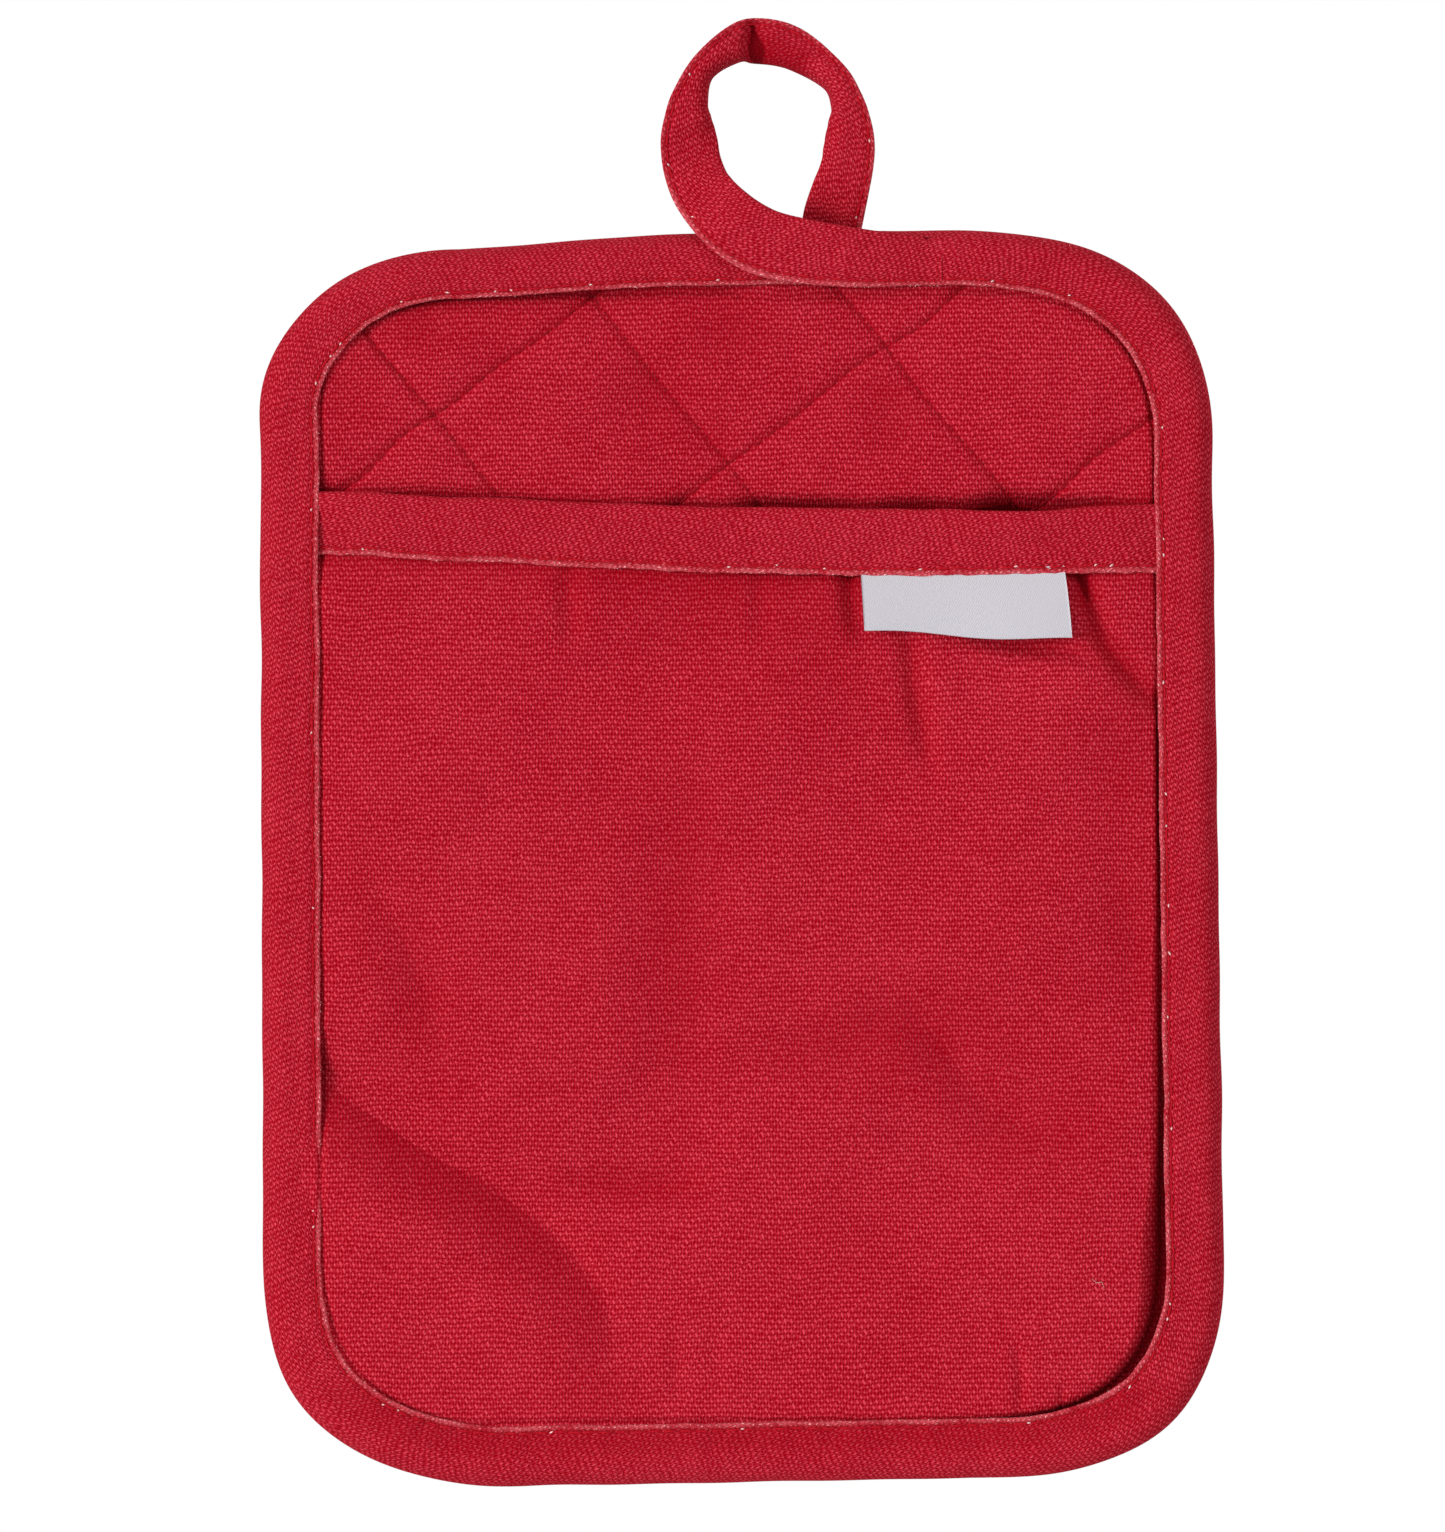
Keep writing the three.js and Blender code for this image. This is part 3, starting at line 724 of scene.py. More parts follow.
def batting(name, base):
    """Needled cotton: soft fibres drawn out by stretched noise, over slow lumps."""
    shade = Shade(name, Roughness=1.0, Sheen_Weight=0.3, Specular_IOR_Level=0.1)
    place = shade.node("ShaderNodeTexCoord", output="Object")
    lumps = shade.noise(place, 160, detail=4.0, roughness=0.7)
    fibres = shade.noise(place, 1900, detail=3.0, roughness=0.8)
    tone = lumps * 0.5 + fibres * 0.5
    shadow = tuple(0.72 * c for c in base)
    shade.feed(Base_Color=shade.mix(tone, shadow, tuple(base)), Normal=shade.bump(tone, 0.5 * MM))
    return shade.material


def materials(context):
    """The cloths, threads and ribbon by name, made once."""
    colours = context.scene.mitt_cloth
    made = bpy.data.materials
    makers = {
        "washed_canvas": lambda name: cloth(name, colours, colours.warp_pitch, colours.weft_pitch),
        "washed_tape": lambda name: cloth(
            name, colours, colours.tape_warp_pitch, colours.tape_weft_pitch, colours.tape_slant, worn=True,
        ),
        "sewing_thread": lambda name: thread(name, colours.thread_red),
        # The quilting thread's darker colour is painted shade of the grooves it lies in.
        "quilting_thread": lambda name: thread(name, colours.thread_in_shade),
        "pale_lint": lambda name: thread(name, colours.thread_pale, 0.9),
        "satin_ribbon": lambda name: satin(name, colours.satin),
        "cotton_batting": lambda name: batting(name, colours.cotton),
    }
    return lambda name: made.get(name) or makers[name](name)


# ---------------------------------------------------------------------------------------------------------
# Quilted pad


def row_wobble(along, seed):
    return 0.45 * wander(along, 34, seed)


def off_rows(x, z):
    """How far each point lies from the nearest quilting row of each family."""
    found = []
    for seed, rows in enumerate(QUILT_ROWS):
        (nx, nz), pitch = rows["across"], rows["pitch"]
        along = z * nx - x * nz
        t = (x * nx + z * nz - rows["place"] - row_wobble(along, seed)) / pitch
        found.append(np.abs(t - np.round(t)) * pitch)
    return found


CREASE_DEPTH = 0.5
CREASE_SPREAD = 0.62


def quilt_row_shade(x, z):
    """Painted shade along the quilting rows: 1 along them, falling to 0 beside them."""
    a, b = off_rows(x, z)
    return 0.85 * np.clip(bell(a / 0.36) + bell(b / 0.36), 0, 1)


def sheet_marks(grid, *parts):
    """The crease marks of painted shade on a sheet's shown side, by the sum of the parts, and the same for
    its hidden side.
    """
    marks = np.clip(sum(part(grid[..., 0], grid[..., 2]) for part in parts), 0, 1).ravel()
    return {"crease": np.concatenate([marks, marks])}


def below_tape_shade(x, z):
    """Painted shade on the face close below the top tape, most on its left."""
    left = 0.35 + 0.15 * ease((x + 68) / 12)
    return lerp(left, 0.15, ease((x + 6) / 10)) * np.exp(-below_tape(x, z) / 3.4)


def face_hollow_shade(x, z):
    """A little painted shade on the face in its broad hollows."""
    return HOLLOW_SHADE * hollows(x, z, FACE_HOLLOWS)


def mouth_gap_shade(x, z):
    """Painted shadow on the face, darkest in the narrow gap behind the pocket's mouth."""
    off = z - mouth_height(x) + mouth_turn(x)
    tall = 0.75 + 0.5 * ease((x + 6) / 6)
    return 0.9 * bell((off + 0.1) / tall) + 0.95 * bell((x - 46.5) / 5) * bell(off / 2.9)


FACE_SHADE_MARKS = (quilt_row_shade, below_tape_shade, face_hollow_shade, mouth_gap_shade)


def quilting(x, z, puff):
    """Pillows between the quilting rows: the puff times, for each family, one less a falling exponential of
    the distance from its nearest row, so that the middles are flat. A narrow bell presses in each row."""
    a, b = off_rows(x, z)
    pillow = puff * (1 - np.exp(-a / 4.2)) * (1 - np.exp(-b / 4.2))
    return pillow - CREASE_DEPTH * (bell(a / CREASE_SPREAD) + bell(b / CREASE_SPREAD))


HOLLOW_DEPTH = 0.9
# How much painted shade the broad hollows take.
HOLLOW_SHADE = 0.4

# Broad soft hollows of the face and the pocket: their middle, their reach across and up, and how deep.
FACE_HOLLOWS = (
    (-18.5, -61.5, 8, 8, 0.8), (-4.5, -50.5, 7, 5, 0.95), (24, -64, 6, 9, 0.8), (-62, -50, 5, 5, 0.8),
    (-49, -53.5, 5, 4, 0.5), (-77, -62, 5, 6, 0.5), (-8, -70, 6, 5, 0.5),
)
POCKET_HOLLOWS = (
    (-8, -99, 28, 11, 0.7), (14, -110, 12, 12, 0.5), (-15, -156, 10, 26, 0.4), (29, -180, 15, 10, 1.1),
    (52, -196, 14, 10, 0.75), (8, -184, 9, 5, 0.5), (-62, -172, 6, 15, 0.7), (67, -128, 7, 14, 0.7),
    (68, -160, 6, 14, 0.5), (-23, -207, 14, 3.5, 0.7), (-28, -246, 10, 8, 0.4),
)


def hollows(x, z, places):
    """The sum of broad bells, each stretched across and up by its own reach."""
    total = 0
    for at_x, at_z, across, up, deep in places:
        total = total + deep * bell(np.hypot((x - at_x) / across, (z - at_z) / up))
    return total


# Where the mouth stands open a little: how far across, over what reach, and how deep.
MOUTH_GAPES = (
    (47, 8, 4.4), (58, 7, 1.8), (2, 6, 3.2), (13, 6, 2.2), (29, 7, 2.6), (-12.5, 4.5, 1.6), (-60, 14, 1.0),
)


def mouth_turn(x):
    """How far the mouth's top edge hangs lower where it turns away from the face."""
    return 0.9 * bell((x - 50) / 13)


def gape(x, z):
    """Hollows of the face close along the mouth's line, each a bell both ways."""
    along = sum(deep * bell((x - at) / reach) for at, reach, deep in MOUTH_GAPES)
    tall = 1.7 + 1.1 * bell((x - 46) / 7)
    return along * bell((z - mouth_height(x) + mouth_turn(x) + 0.2) / tall)


def face_relief(x, z, puff):
    """How far the quilted face stands out in front: its level, plus the pillows of the quilting, less the
    dips at the mouth, in the hollows, under the top tape and beside the hem. It lies lower in the pocket."""
    depth = depth_inside(x, z)
    loft = ease((depth - LOFT_FROM) / LOFT_OVER)
    inside = ease((mouth_height(x) + 1.6 - z) / 4.4)
    level = FACE_EDGE + FACE_LOFT * loft - inside * (FACE_SUNK + 0.5 * loft)
    uneven = 0.22 * ripple(x, z, 42, 3) + 0.08 * ripple(x, z, 15, 4)
    dip = gape(x, z) + valley(x, z, ((43, -72), (45.5, -79), (47, -90)), 0.7, 3.4)
    dip = dip + 0.7 * bell((z - mouth_height(x)) / 1.6) * ease((x + 8) / 20) * loft
    dip = dip + HOLLOW_DEPTH * hollows(x, z, FACE_HOLLOWS) * loft
    under_tape = lerp(1.5, 0.5, ease((x + 6) / 8)) * np.exp(-below_tape(x, z) / 3.2)
    beside = 0.75 * beside_hem(depth) + 0.75 * crevice(x, z, depth)
    return level + quilting(x, z, puff) * (1 - 0.35 * inside) + uneven * loft - dip - under_tape - beside


def back_relief(x, z, puff):
    """How far the quilted back stands out behind."""
    loft = ease((depth_inside(x, z) - 10) / 26)
    uneven = 0.25 * ripple(x, z, 48, 5) + 0.08 * ripple(x, z, 14, 6)
    return BACK_EDGE + BACK_LOFT * loft + quilting(x, z, puff) * lerp(0.5, 1, loft) + uneven * loft


def closer_at_ends(count):
    """Shares from 0 to 1 whose steps are smaller at both ends: a straight rise less a sine."""
    t = np.linspace(0, 1, count)
    return t - 0.6 * np.sin(2 * math.pi * t) / (2 * math.pi)


def pad_grid(inset, columns, down):
    """A grid over the whole pad, inset from the outline, with its rows at the shares down of the height."""
    u, v = np.meshgrid(closer_at_ends(columns), down)
    left = lerp(TOP_LEFT["x"], BOTTOM_LEFT["x"], v) + inset
    right = lerp(TOP_RIGHT["x"], BOTTOM_RIGHT["x"], v) - inset
    top = lerp(TOP_LEFT["z"], TOP_RIGHT["z"], u) - inset + TOP_CROWN * np.sin(math.pi * u)
    bottom = lerp(BOTTOM_LEFT["z"], BOTTOM_RIGHT["z"], u) + inset
    return rounded(lerp(left, right, u), lerp(top, bottom, v), CORNERS, inset)


RAW_EDGE = 5.2  # how far in from the outline the sheets end, inside the fold of the edge tape
ABOVE_MOUTH = 0.26


def face_sheet(puff):
    """The canvas face, with close rows above the mouth and wide ones inside the pocket."""
    down = np.concatenate([np.linspace(0, ABOVE_MOUTH, 108, endpoint=False), np.linspace(ABOVE_MOUTH, 1, 30)])
    x, z = pad_grid(RAW_EDGE, 350, down)
    y = -face_relief(x, z, puff)
    return np.stack([x, y, z], -1), np.stack([x, y + CANVAS, z], -1)


def back_sheet(puff):
    x, z = pad_grid(RAW_EDGE, 176, np.linspace(0, 1, 226))
    y = back_relief(x, z, puff)
    return np.stack([x, y, z], -1), np.stack([x, y - CANVAS, z], -1)


def wadding_between(sizes):
    """The wadding fills the room between the face and the back, clear of both."""
    x, z = pad_grid(RAW_EDGE + 1.5, 120, np.linspace(0, 1, 150))
    clear = CANVAS + 0.25
    front = np.stack([x, clear - face_relief(x, z, sizes.puff / MM), z], -1)
    rear = np.stack([x, back_relief(x, z, sizes.back_puff / MM) - clear, z], -1)
    return front, rear


def quilt_paths(relief, side, lift):
    """The quilting rows as lines of points on the face or the back, cut where they go under the binding."""
    lines = []
    along = np.arange(-330, 330, 0.5)
    for seed, rows in enumerate(QUILT_ROWS):
        nx, nz = rows["across"]
        for k in range(-8, 9):
            place = rows["place"] + k * rows["pitch"] + row_wobble(along, seed)
            x, z = nx * place - nz * along, nz * place + nx * along
            left, right, top, bottom = box_sides(x, z)
            shown = (np.minimum(np.minimum(left, right), np.minimum(top, bottom)) > 0) & (
                depth_inside(x, z) > 9
            )
            if shown.sum() > 12:
                x, z = x[shown], z[shown]
                lines.append(np.stack([x, side * (relief(x, z) + lift), z], -1))
    return lines


# ---------------------------------------------------------------------------------------------------------
# Folded tapes

HEM_SPACING = 2.2  # above 1, the points of a tape's leg lie closer towards its hem
ROW_DEPTH = 0.26
ROW_SPREAD = 0.4
ROW_LIFT = 0.1
ROW_SPACING = 0.5
QUILT_LIFT = -0.05
HEM_ROUND = 0.2


def leg_relief(w, row):
    """The outer face of a tape's leg by its distance from the hem: a groove where the row of stitches pulls
    it in, and a low roll on each side of that."""
    return (
        -ROW_DEPTH * bell((w - row) / ROW_SPREAD)
        + 0.08 * bell((w - 0.5 * row) / 0.35)
        + 0.12 * bell((w - row - 1.3) / 1.1)
    )


def folded_section(width, half, fold, leg, row, leg_steps=18, fold_steps=9):
    """A tape folded in two, cut across: the outside from the front hem by the fold to the rear hem, and back
    along the inside. d runs in from the fold, y through the tape. Each leg ends in a round hem."""
    w = (width - fold) * np.linspace(0, 1, leg_steps) ** HEM_SPACING
    through = leg / 2 * (1 - np.clip(1 - w / HEM_ROUND, 0, 0.99) ** 2.6) ** (1 / 2.6)
    outer = half - leg / 2 + through + leg_relief(w, row)
    inner = half - leg / 2 - through
    angle = np.linspace(-math.pi / 2, math.pi / 2, fold_steps + 2)[1:-1]
    out_d, out_y = fold * (1 - np.cos(angle)), half * np.sin(angle)
    slack = fold - leg + 0.4
    in_d, in_y = leg + slack * (1 - np.cos(angle)), (half - leg) * np.sin(angle)
    outside = np.stack([
        np.concatenate([width - w, out_d, (width - w)[::-1]]),
        np.concatenate([-outer, out_y, outer[::-1]]),
    ], -1)
    inside = np.stack([
        np.concatenate([width - w, in_d, (width - w)[::-1]]),
        np.concatenate([-inner, in_y, inner[::-1]]),
    ], -1)
    u = run_of(outside)
    section = np.concatenate([outside, inside[::-1]])
    hem = np.minimum(u, u[-1] - u)
    return dict(
        d=section[:, 0], y=section[:, 1], u=np.concatenate([u, u[::-1]]), w=np.concatenate([hem, hem[::-1]]),
        outer=np.concatenate([np.ones(len(u)), np.zeros(len(u))]),
    )


def worn_mark(w, s, row, seed):
    """How worn a tape is: fully at its hem, less towards the stitching, in patches along its length."""
    patches = 0.8 + 0.35 * wander(s, 14, seed)[:, None] + 0.25 * wander(s, 3, seed + 1)[:, None]
    return np.clip(ease((row + 0.25 - w) / 1.1)[None, :] * patches, 0, 1)


def stitch_groove_shade(w, row):
    """Painted shade in the groove of the topstitching: a bell across it."""
    return 0.5 * bell((w - row) / 0.32)


def bottom_tape_darker(w, z):
    """The tape is darker in the middle of its leg along the pad's bottom."""
    return 0.5 * bell((w - 3.4) / 3.4) * ease((-242 - z) / 4)


EDGE_MIDDLE = -0.75
EDGE_FOLD = 4.5
CORNER_GATHER = 0.22


def edge_shape(tau, s, d, y, w):
    """Carries a section round the rim. It wanders a little in and out, puckers in slanting waves beside the
    stitching, gathers on the inside of the corners, and rides up where the pocket's tape passes under."""
    s, tau, w = s[:, None], tau[:, None], w[None, :]
    front = np.sign(y)[None, :]
    on_corner = np.where(np.floor(tau).astype(int) % 2 == 0, np.sin(math.pi * (tau % 1)), 0)
    slow = 0.16 * wander(s, 26, 11) + 0.07 * wander(s, 9, 12)
    pucker = (0.07 * wander(s + 0.7 * w, 4.6, 13) + 0.05 * wander(s + 0.5 * w, 2.6, 14)) * bell((w - 2) / 2.4)
    gather = CORNER_GATHER * on_corner * wander(s + 0.3 * w, 3.4, 15) * bell((w - 0.6) / 2.2)
    x, z = rim(d[None, :] + 0.14 * wander(s, 31, 16) + 0.05 * wander(s, 7, 17) * bell(w / 3), tau)
    over_mouth = 0.5 * bell((z + 86) / 7) * bell(w / 5) * (front < 0)
    lift = 0.9 * bell((z + 226) / 20) * bell(w / 4) * (x > 40) * (front < 0)
    depth = y[None, :] + front * (slow * bell((w - 4) / 5) + pucker + gather + over_mouth + lift)
    return np.stack([x, EDGE_MIDDLE + depth, z], -1)


def edge_section(sizes):
    mm = {k: getattr(sizes, k) / MM for k in ("edge_width", "edge_half", "leg", "row")}
    return folded_section(mm["edge_width"], mm["edge_half"], EDGE_FOLD, mm["leg"], mm["row"])


def edge_row(sizes, side, lift):
    """The line of the topstitching on the front (side -1) or the back (side 1) of the edge tape."""
    tau, s = rim_stations(ROW_SPACING)
    row = sizes.row / MM
    y = side * (sizes.edge_half / MM - ROW_DEPTH + lift)
    points = edge_shape(tau, s, np.array([sizes.edge_width / MM - row]), np.array([y]), np.array([row]))
    return points[:, 0]


# Pocket


def pocket_swell(depth):
    """How far the pocket has swollen out, from 0 at its seams to 1, by an exponential of the distance in."""
    return 1 - np.exp(-np.maximum(depth - LOFT_FROM, 0) / SWELL_OVER)


def hem_dip(x, z):
    """How far the pocket's cloth is drawn in by its tape: an exponential of the distance below the hem."""
    return 0.95 * np.exp(-below_hem(x, z) / 2.6)


def pocket_relief(x, z):
    """How far the pocket's cloth stands out in front: it swells from its seams, and is creased by the folds
    that a hand and the washing leave in it."""
    depth = depth_inside(x, z)
    swell = pocket_swell(depth)
    level = POCKET_EDGE + POCKET_ROOM * swell
    level = level + 0.5 * ripple(x, z, 52, 21) * swell + 0.11 * ripple(x, z, 17, 22) * swell
    level = level - hem_dip(x, z)
    level = level - HOLLOW_DEPTH * hollows(x, z, POCKET_HOLLOWS) * swell
    return level - pocket_folds(x, z) - pocket_drop(x, z, depth)


# Folds of the pocket: their way in x and z, their depth, and their half width.
POCKET_FOLDS = (
    (((27.6, -103), (28.8, -114), (30, -121), (32, -132)), 1.9, 1.9),
    (((33, -104), (34.5, -114), (37, -126)), -0.35, 3),
    (((17, -90), (17.2, -98), (18.6, -108)), 2.0, 1.9),
    (((58.5, -90), (60.4, -97), (62.8, -105), (68, -112), (76, -120.5)), 2.9, 2.0),
    (((38, -106), (48, -107.6), (57, -108.8), (64, -111)), 2.0, 1.9),
    (((52, -112), (62, -115), (72, -123)), -0.7, 3.2),
    (((-34.6, -91), (-35, -99), (-34, -109)), 1.1, 2.0),
    (((-30, -92), (-29.5, -100), (-29.5, -108)), -0.25, 3),
    (((0.2, -91), (0.4, -99), (0.6, -108)), 0.65, 1.8),
    (((-15, -122), (-13, -150), (-14, -170), (-16, -200)), 0.85, 7.5),
    (((-28, -150), (-29, -172), (-27, -190)), -0.5, 6),
    (((1, -182), (14, -180), (27, -177)), 0.7, 4.4),
    (((-36, -206), (-22, -207.5), (-10, -206.5)), 0.7, 3.2),
    (((-15.4, -229), (-15, -238), (-15.2, -249)), 0.55, 1.5),
    (((-8, -232), (-7.5, -242), (-8, -250)), 0.35, 1.6),
    (((64, -146), (69, -160), (70, -178)), 0.6, 3.6),
    (((47.4, -236), (48.6, -243), (48.2, -251)), 0.95, 0.9),
    (((56.6, -243.6), (56, -247), (56.3, -251)), 0.6, 0.8),
    (((-73, -219), (-67, -221.5), (-61, -221)), 0.5, 2.2),
)


# Long folds: the way of the crease, the fall from the ridge beside it, and how far the ridge lies from it.
LONG_FOLDS = (
    (
        ((-84, -184.5), (-77.5, -188.6), (-70.9, -193), (-60.9, -199.8), (-50, -206.8), (-40.7, -213.7),
         (-33.1, -221.4), (-27.6, -230.7), (-26, -243)), 4.1, 12,
    ),
    (((-71, -150), (-66, -160), (-61, -172), (-57, -186)), 0.9, 8),
    (((27, -174), (34, -181), (40, -190), (50, -197), (60, -199)), 1.0, 7),
)


# The way of the shadowed gap beside the label's right end.
LABEL_GAP = ((58.3, -90), (60, -96), (61.6, -102.5))


def beside_way(x, z, path):
    """How far each point lies from a fold's way, whether it is on the ridge's side, and the fold's swell."""
    line = spline(path, 8)
    run = run_of(line)
    away, share = off_path(x, z, line)
    near, ahead = (at_run(columns, run, share * run[-1]) for columns in (line, np.gradient(line, axis=0)))
    ridge_side = (x - near[..., 0]) * ahead[..., 1] - (z - near[..., 1]) * ahead[..., 0] > 0
    return away, ridge_side, np.sin(math.pi * np.clip(share, 0.004, 0.98) ** 0.6) ** 0.6


def steep_side(x, z, path, fall, reach):
    """The steep side of a long fold: most at the crease, by its fall, and 0 beyond the fold's reach, by an
    exponential of the distance cubed."""
    away, ridge_side, swell = beside_way(x, z, path)
    return fall / 3.8 * swell * ridge_side * np.exp(-((away / (0.85 * reach)) ** 3))


def long_fold(x, z, path, fall, reach):
    """A fold that falls from a broad ridge on its left to a crease, and rises slowly again beyond it. Left
    of the way the depth falls as the square of what is left of the reach, right of it as an exponential."""
    away, ridge_side, swell = beside_way(x, z, path)
    slope = (1 - np.clip(away / reach, 0, 1)) ** 2
    ridge = 0.35 * bell((away - 1.25 * reach) / (0.5 * reach))
    rise = np.exp(-away / (0.9 * reach))
    return fall * swell * np.where(ridge_side, slope - ridge, rise)


def pocket_fold_shade(x, z):
    """Painted shade on the pocket in its folds and hollows, in the crevice, beside the label and close below
    the mouth's hem.
    """
    small = sum(0.23 * np.maximum(valley(x, z, *fold), 0) for fold in POCKET_FOLDS)
    long = sum(0.56 * steep_side(x, z, *fold) for fold in LONG_FOLDS)
    gap = 0.2 * crevice(x, z, depth_inside(x, z))
    beside_label = np.maximum(valley(x, z, LABEL_GAP, 0.45, 1.7), 0)
    broad = HOLLOW_SHADE * hollows(x, z, POCKET_HOLLOWS)
    return 0.6 * np.exp(-below_hem(x, z) / 2.4) + small + long + gap + beside_label + broad


def pocket_folds(x, z):
    small = sum(valley(x, z, *fold) for fold in POCKET_FOLDS)
    return small + sum(long_fold(x, z, *fold) for fold in LONG_FOLDS)


def crevice(x, z, depth):
    """The gap down the right side and round the corner, where the layers lie clear of the binding: a smooth
    step beside its hem that gets deeper and wider downwards."""
    right = ease((x - 34) / 26) * ease((z + 262) / 10)
    low = ease((-112 - z) / 14)
    deep = 1.5 * low + 1.7 * ease((-165 - z) / 45) + 1.0 * bell((z + 222) / 15)
    wide = 1.5 + 1.0 * ease((-140 - z) / 40) + 2.4 * bell((z + 221) / 13)
    return right * deep * (1 - ease((depth - 10.6) / wide))


def pocket_drop(x, z, depth):
    """Down the right side the cloth falls away from the binding, most in the bottom corner, where it is
    gathered into small teeth. Everywhere it dips a little beside the binding."""
    right = ease((x - 30) / 35)
    corner = right * ease((-228 - z) / 12) * ease((x - 48) / 8) * ease((z + 262) / 8)
    teeth = 0.32 * np.sin(2 * math.pi * (x + 0.9 * z) / 1.75) * bell((depth - 12.4) / 2.0)
    return 0.85 * beside_hem(depth) + crevice(x, z, depth) + corner * teeth


def pocket_sheet():
    """Rows run level from seam to seam, the first along the mouth inside the fold of its tape."""
    inset = 7.5
    u, v = np.meshgrid(closer_at_ends(232), closer_at_ends(210))
    down = 0.2 + 0.8 * v
    left = lerp(TOP_LEFT["x"], BOTTOM_LEFT["x"], down) + inset
    right = lerp(TOP_RIGHT["x"], BOTTOM_RIGHT["x"], down) - inset
    x = lerp(left, right, u)
    bottom = lerp(BOTTOM_LEFT["z"], BOTTOM_RIGHT["z"], u) + inset
    z = lerp(mouth_height(x) - 2.2, bottom, v)
    x, z = rounded(x, z, (BOTTOM_LEFT, BOTTOM_RIGHT), inset)
    y = -pocket_relief(x, z)
    return np.stack([x, y - CANVAS / 2, z], -1), np.stack([x, y + CANVAS / 2, z], -1)


MOUTH_HALF = 1.35
MOUTH_LEG = 0.85


def mouth_shape(x, d, y, w, sizes):
    """Carries a section along the mouth from left to right. It is pressed flat where it goes under the edge
    tape, bows away from the face above the dips of the quilting, and puckers beside its stitching."""
    x, w, d, y = x[:, None], w[None, :], d[None, :], y[None, :]
    left, right, _, _ = box_sides(x, mouth_height(x))
    side = np.minimum(left, right)
    press = lerp(0.55, 1, ease((side - 9) / 9))
    middle = -POCKET_EDGE - POCKET_ROOM * pocket_swell(side) + 0.95 * ease((d - 2) / 9)
    t = np.clip((x - TOP_LEFT["x"]) / (TOP_RIGHT["x"] - TOP_LEFT["x"]), 0, 1)
    grow = 1 + t * sizes.mouth_growth / sizes.mouth_width
    bow = (0.8 * bell((x - 48) / 8) + 0.5 * bell((x - 20) / 22)) * bell(d / 7)
    sag = 0.12 * wander(x, 30, 31) + 0.05 * wander(x, 8, 32)
    pucker = (0.06 * wander(x - 0.6 * w, 4.4, 33) + 0.05 * wander(x - 0.5 * w, 2.5, 34)) * bell((w - 2) / 2.4)
    depth = middle - bow + press * y * (1 + pucker / MOUTH_HALF)
    z = mouth_height(x) - mouth_turn(x) * bell(d / 6) + sag - d * grow + 0.08 * wander(x, 5, 35) * bell(w / 2)
    return np.stack(np.broadcast_arrays(x, depth, z), -1)


def mouth_stations(spacing):
    return np.arange(TOP_LEFT["x"] + 7.5, TOP_RIGHT["x"] - 7.2, spacing)


def mouth_section(sizes):
    return folded_section(sizes.mouth_width / MM, MOUTH_HALF, MOUTH_HALF, MOUTH_LEG, sizes.row / MM, 16, 7)


# Hang loop

LOOP_HALF = 0.85
LOOP_LEG = 0.8
LOOP_FREE_X = (34, 14)  # where the loop's tape starts to come off the edge tape, and where it is free
PINCH_AT = (-0.4, 4.1)


def loop_way(spacing):
    """Evenly spaced stations of the loop's middle line: columns x, y, z, lean and width, the running length,
    and the share of each that has come free of the edge tape."""
    line = spline((LOOP_LEAD_IN, *LOOP_ROUTE), 60)
    run = run_of(line[:, :3])
    s = np.linspace(0, run[-1], int(run[-1] / spacing) + 1)
    way = at_run(line, run, s)
    lead = np.arange(len(s)) < np.argmin(np.abs(way[:, 0] - 10) + (s > 60) * 99)
    free = np.where(lead, ease((LOOP_FREE_X[0] - way[:, 0]) / (LOOP_FREE_X[0] - LOOP_FREE_X[1])), 1)
    return way, s, free


def loop_frame(way):
    """The direction from the way's middle line out to the loop's outer edge, and the one to the rear."""
    along = unit(np.gradient(way[:, :3], axis=0))
    outward = unit(np.cross(FRONT, along))
    return outward, unit(np.cross(outward, along))


ROLL = 0.36  # the share of the tape's width over which it turns back
STEEPEST = math.radians(86)


def roll_back(way, share):
    """The tape's curve across its own width, from its outer hem (share 1) to its fold at the hole (share 0):
    how far out and how far back from its middle each point lies, and its slope there. The slope rises from
    nothing at the hem by a smooth step, so that the tape as seen from the front is narrowed by the cosine of
    the station's lean. Out and back are the running sums of the slope's cosine and sine."""
    lean, width = np.radians(way[:, 3:4]), way[:, 4:5]
    steep = np.minimum(1.9 * lean, STEEPEST)
    least = np.cos(steep)
    start = (np.cos(lean) - least) / np.maximum(1 - least, 1e-6) - ROLL / 2
    count = 60
    t = (np.arange(count) + 0.5)[None, :] / count
    slope = steep * ease((t - start) / ROLL)
    inward = np.cumsum(np.cos(slope), axis=1) / count
    inward = np.concatenate([0 * width, inward], 1) * (np.cos(lean) / inward[:, -1:])
    back = np.concatenate([0 * width, np.cumsum(np.sin(slope), axis=1) / count], 1)
    place = (1 - share) * count
    low = np.minimum(place.astype(int), count - 1)
    part = (place - low)[None, :]
    out, rear = (lerp(curve[:, low], curve[:, low + 1], part) for curve in (inward, back))
    turned = steep * ease((1 - share - start) / ROLL)
    return width * (np.cos(lean) / 2 - out), width * (rear - back[:, -1:] / 2), turned


def from_pinch(way, s):
    """The running length of each station from the loop's pinched top, as a column."""
    top = np.argmin(np.hypot(way[:, 0] - PINCH_AT[0], way[:, 2] - PINCH_AT[1]))
    return (s - s[top])[:, None]


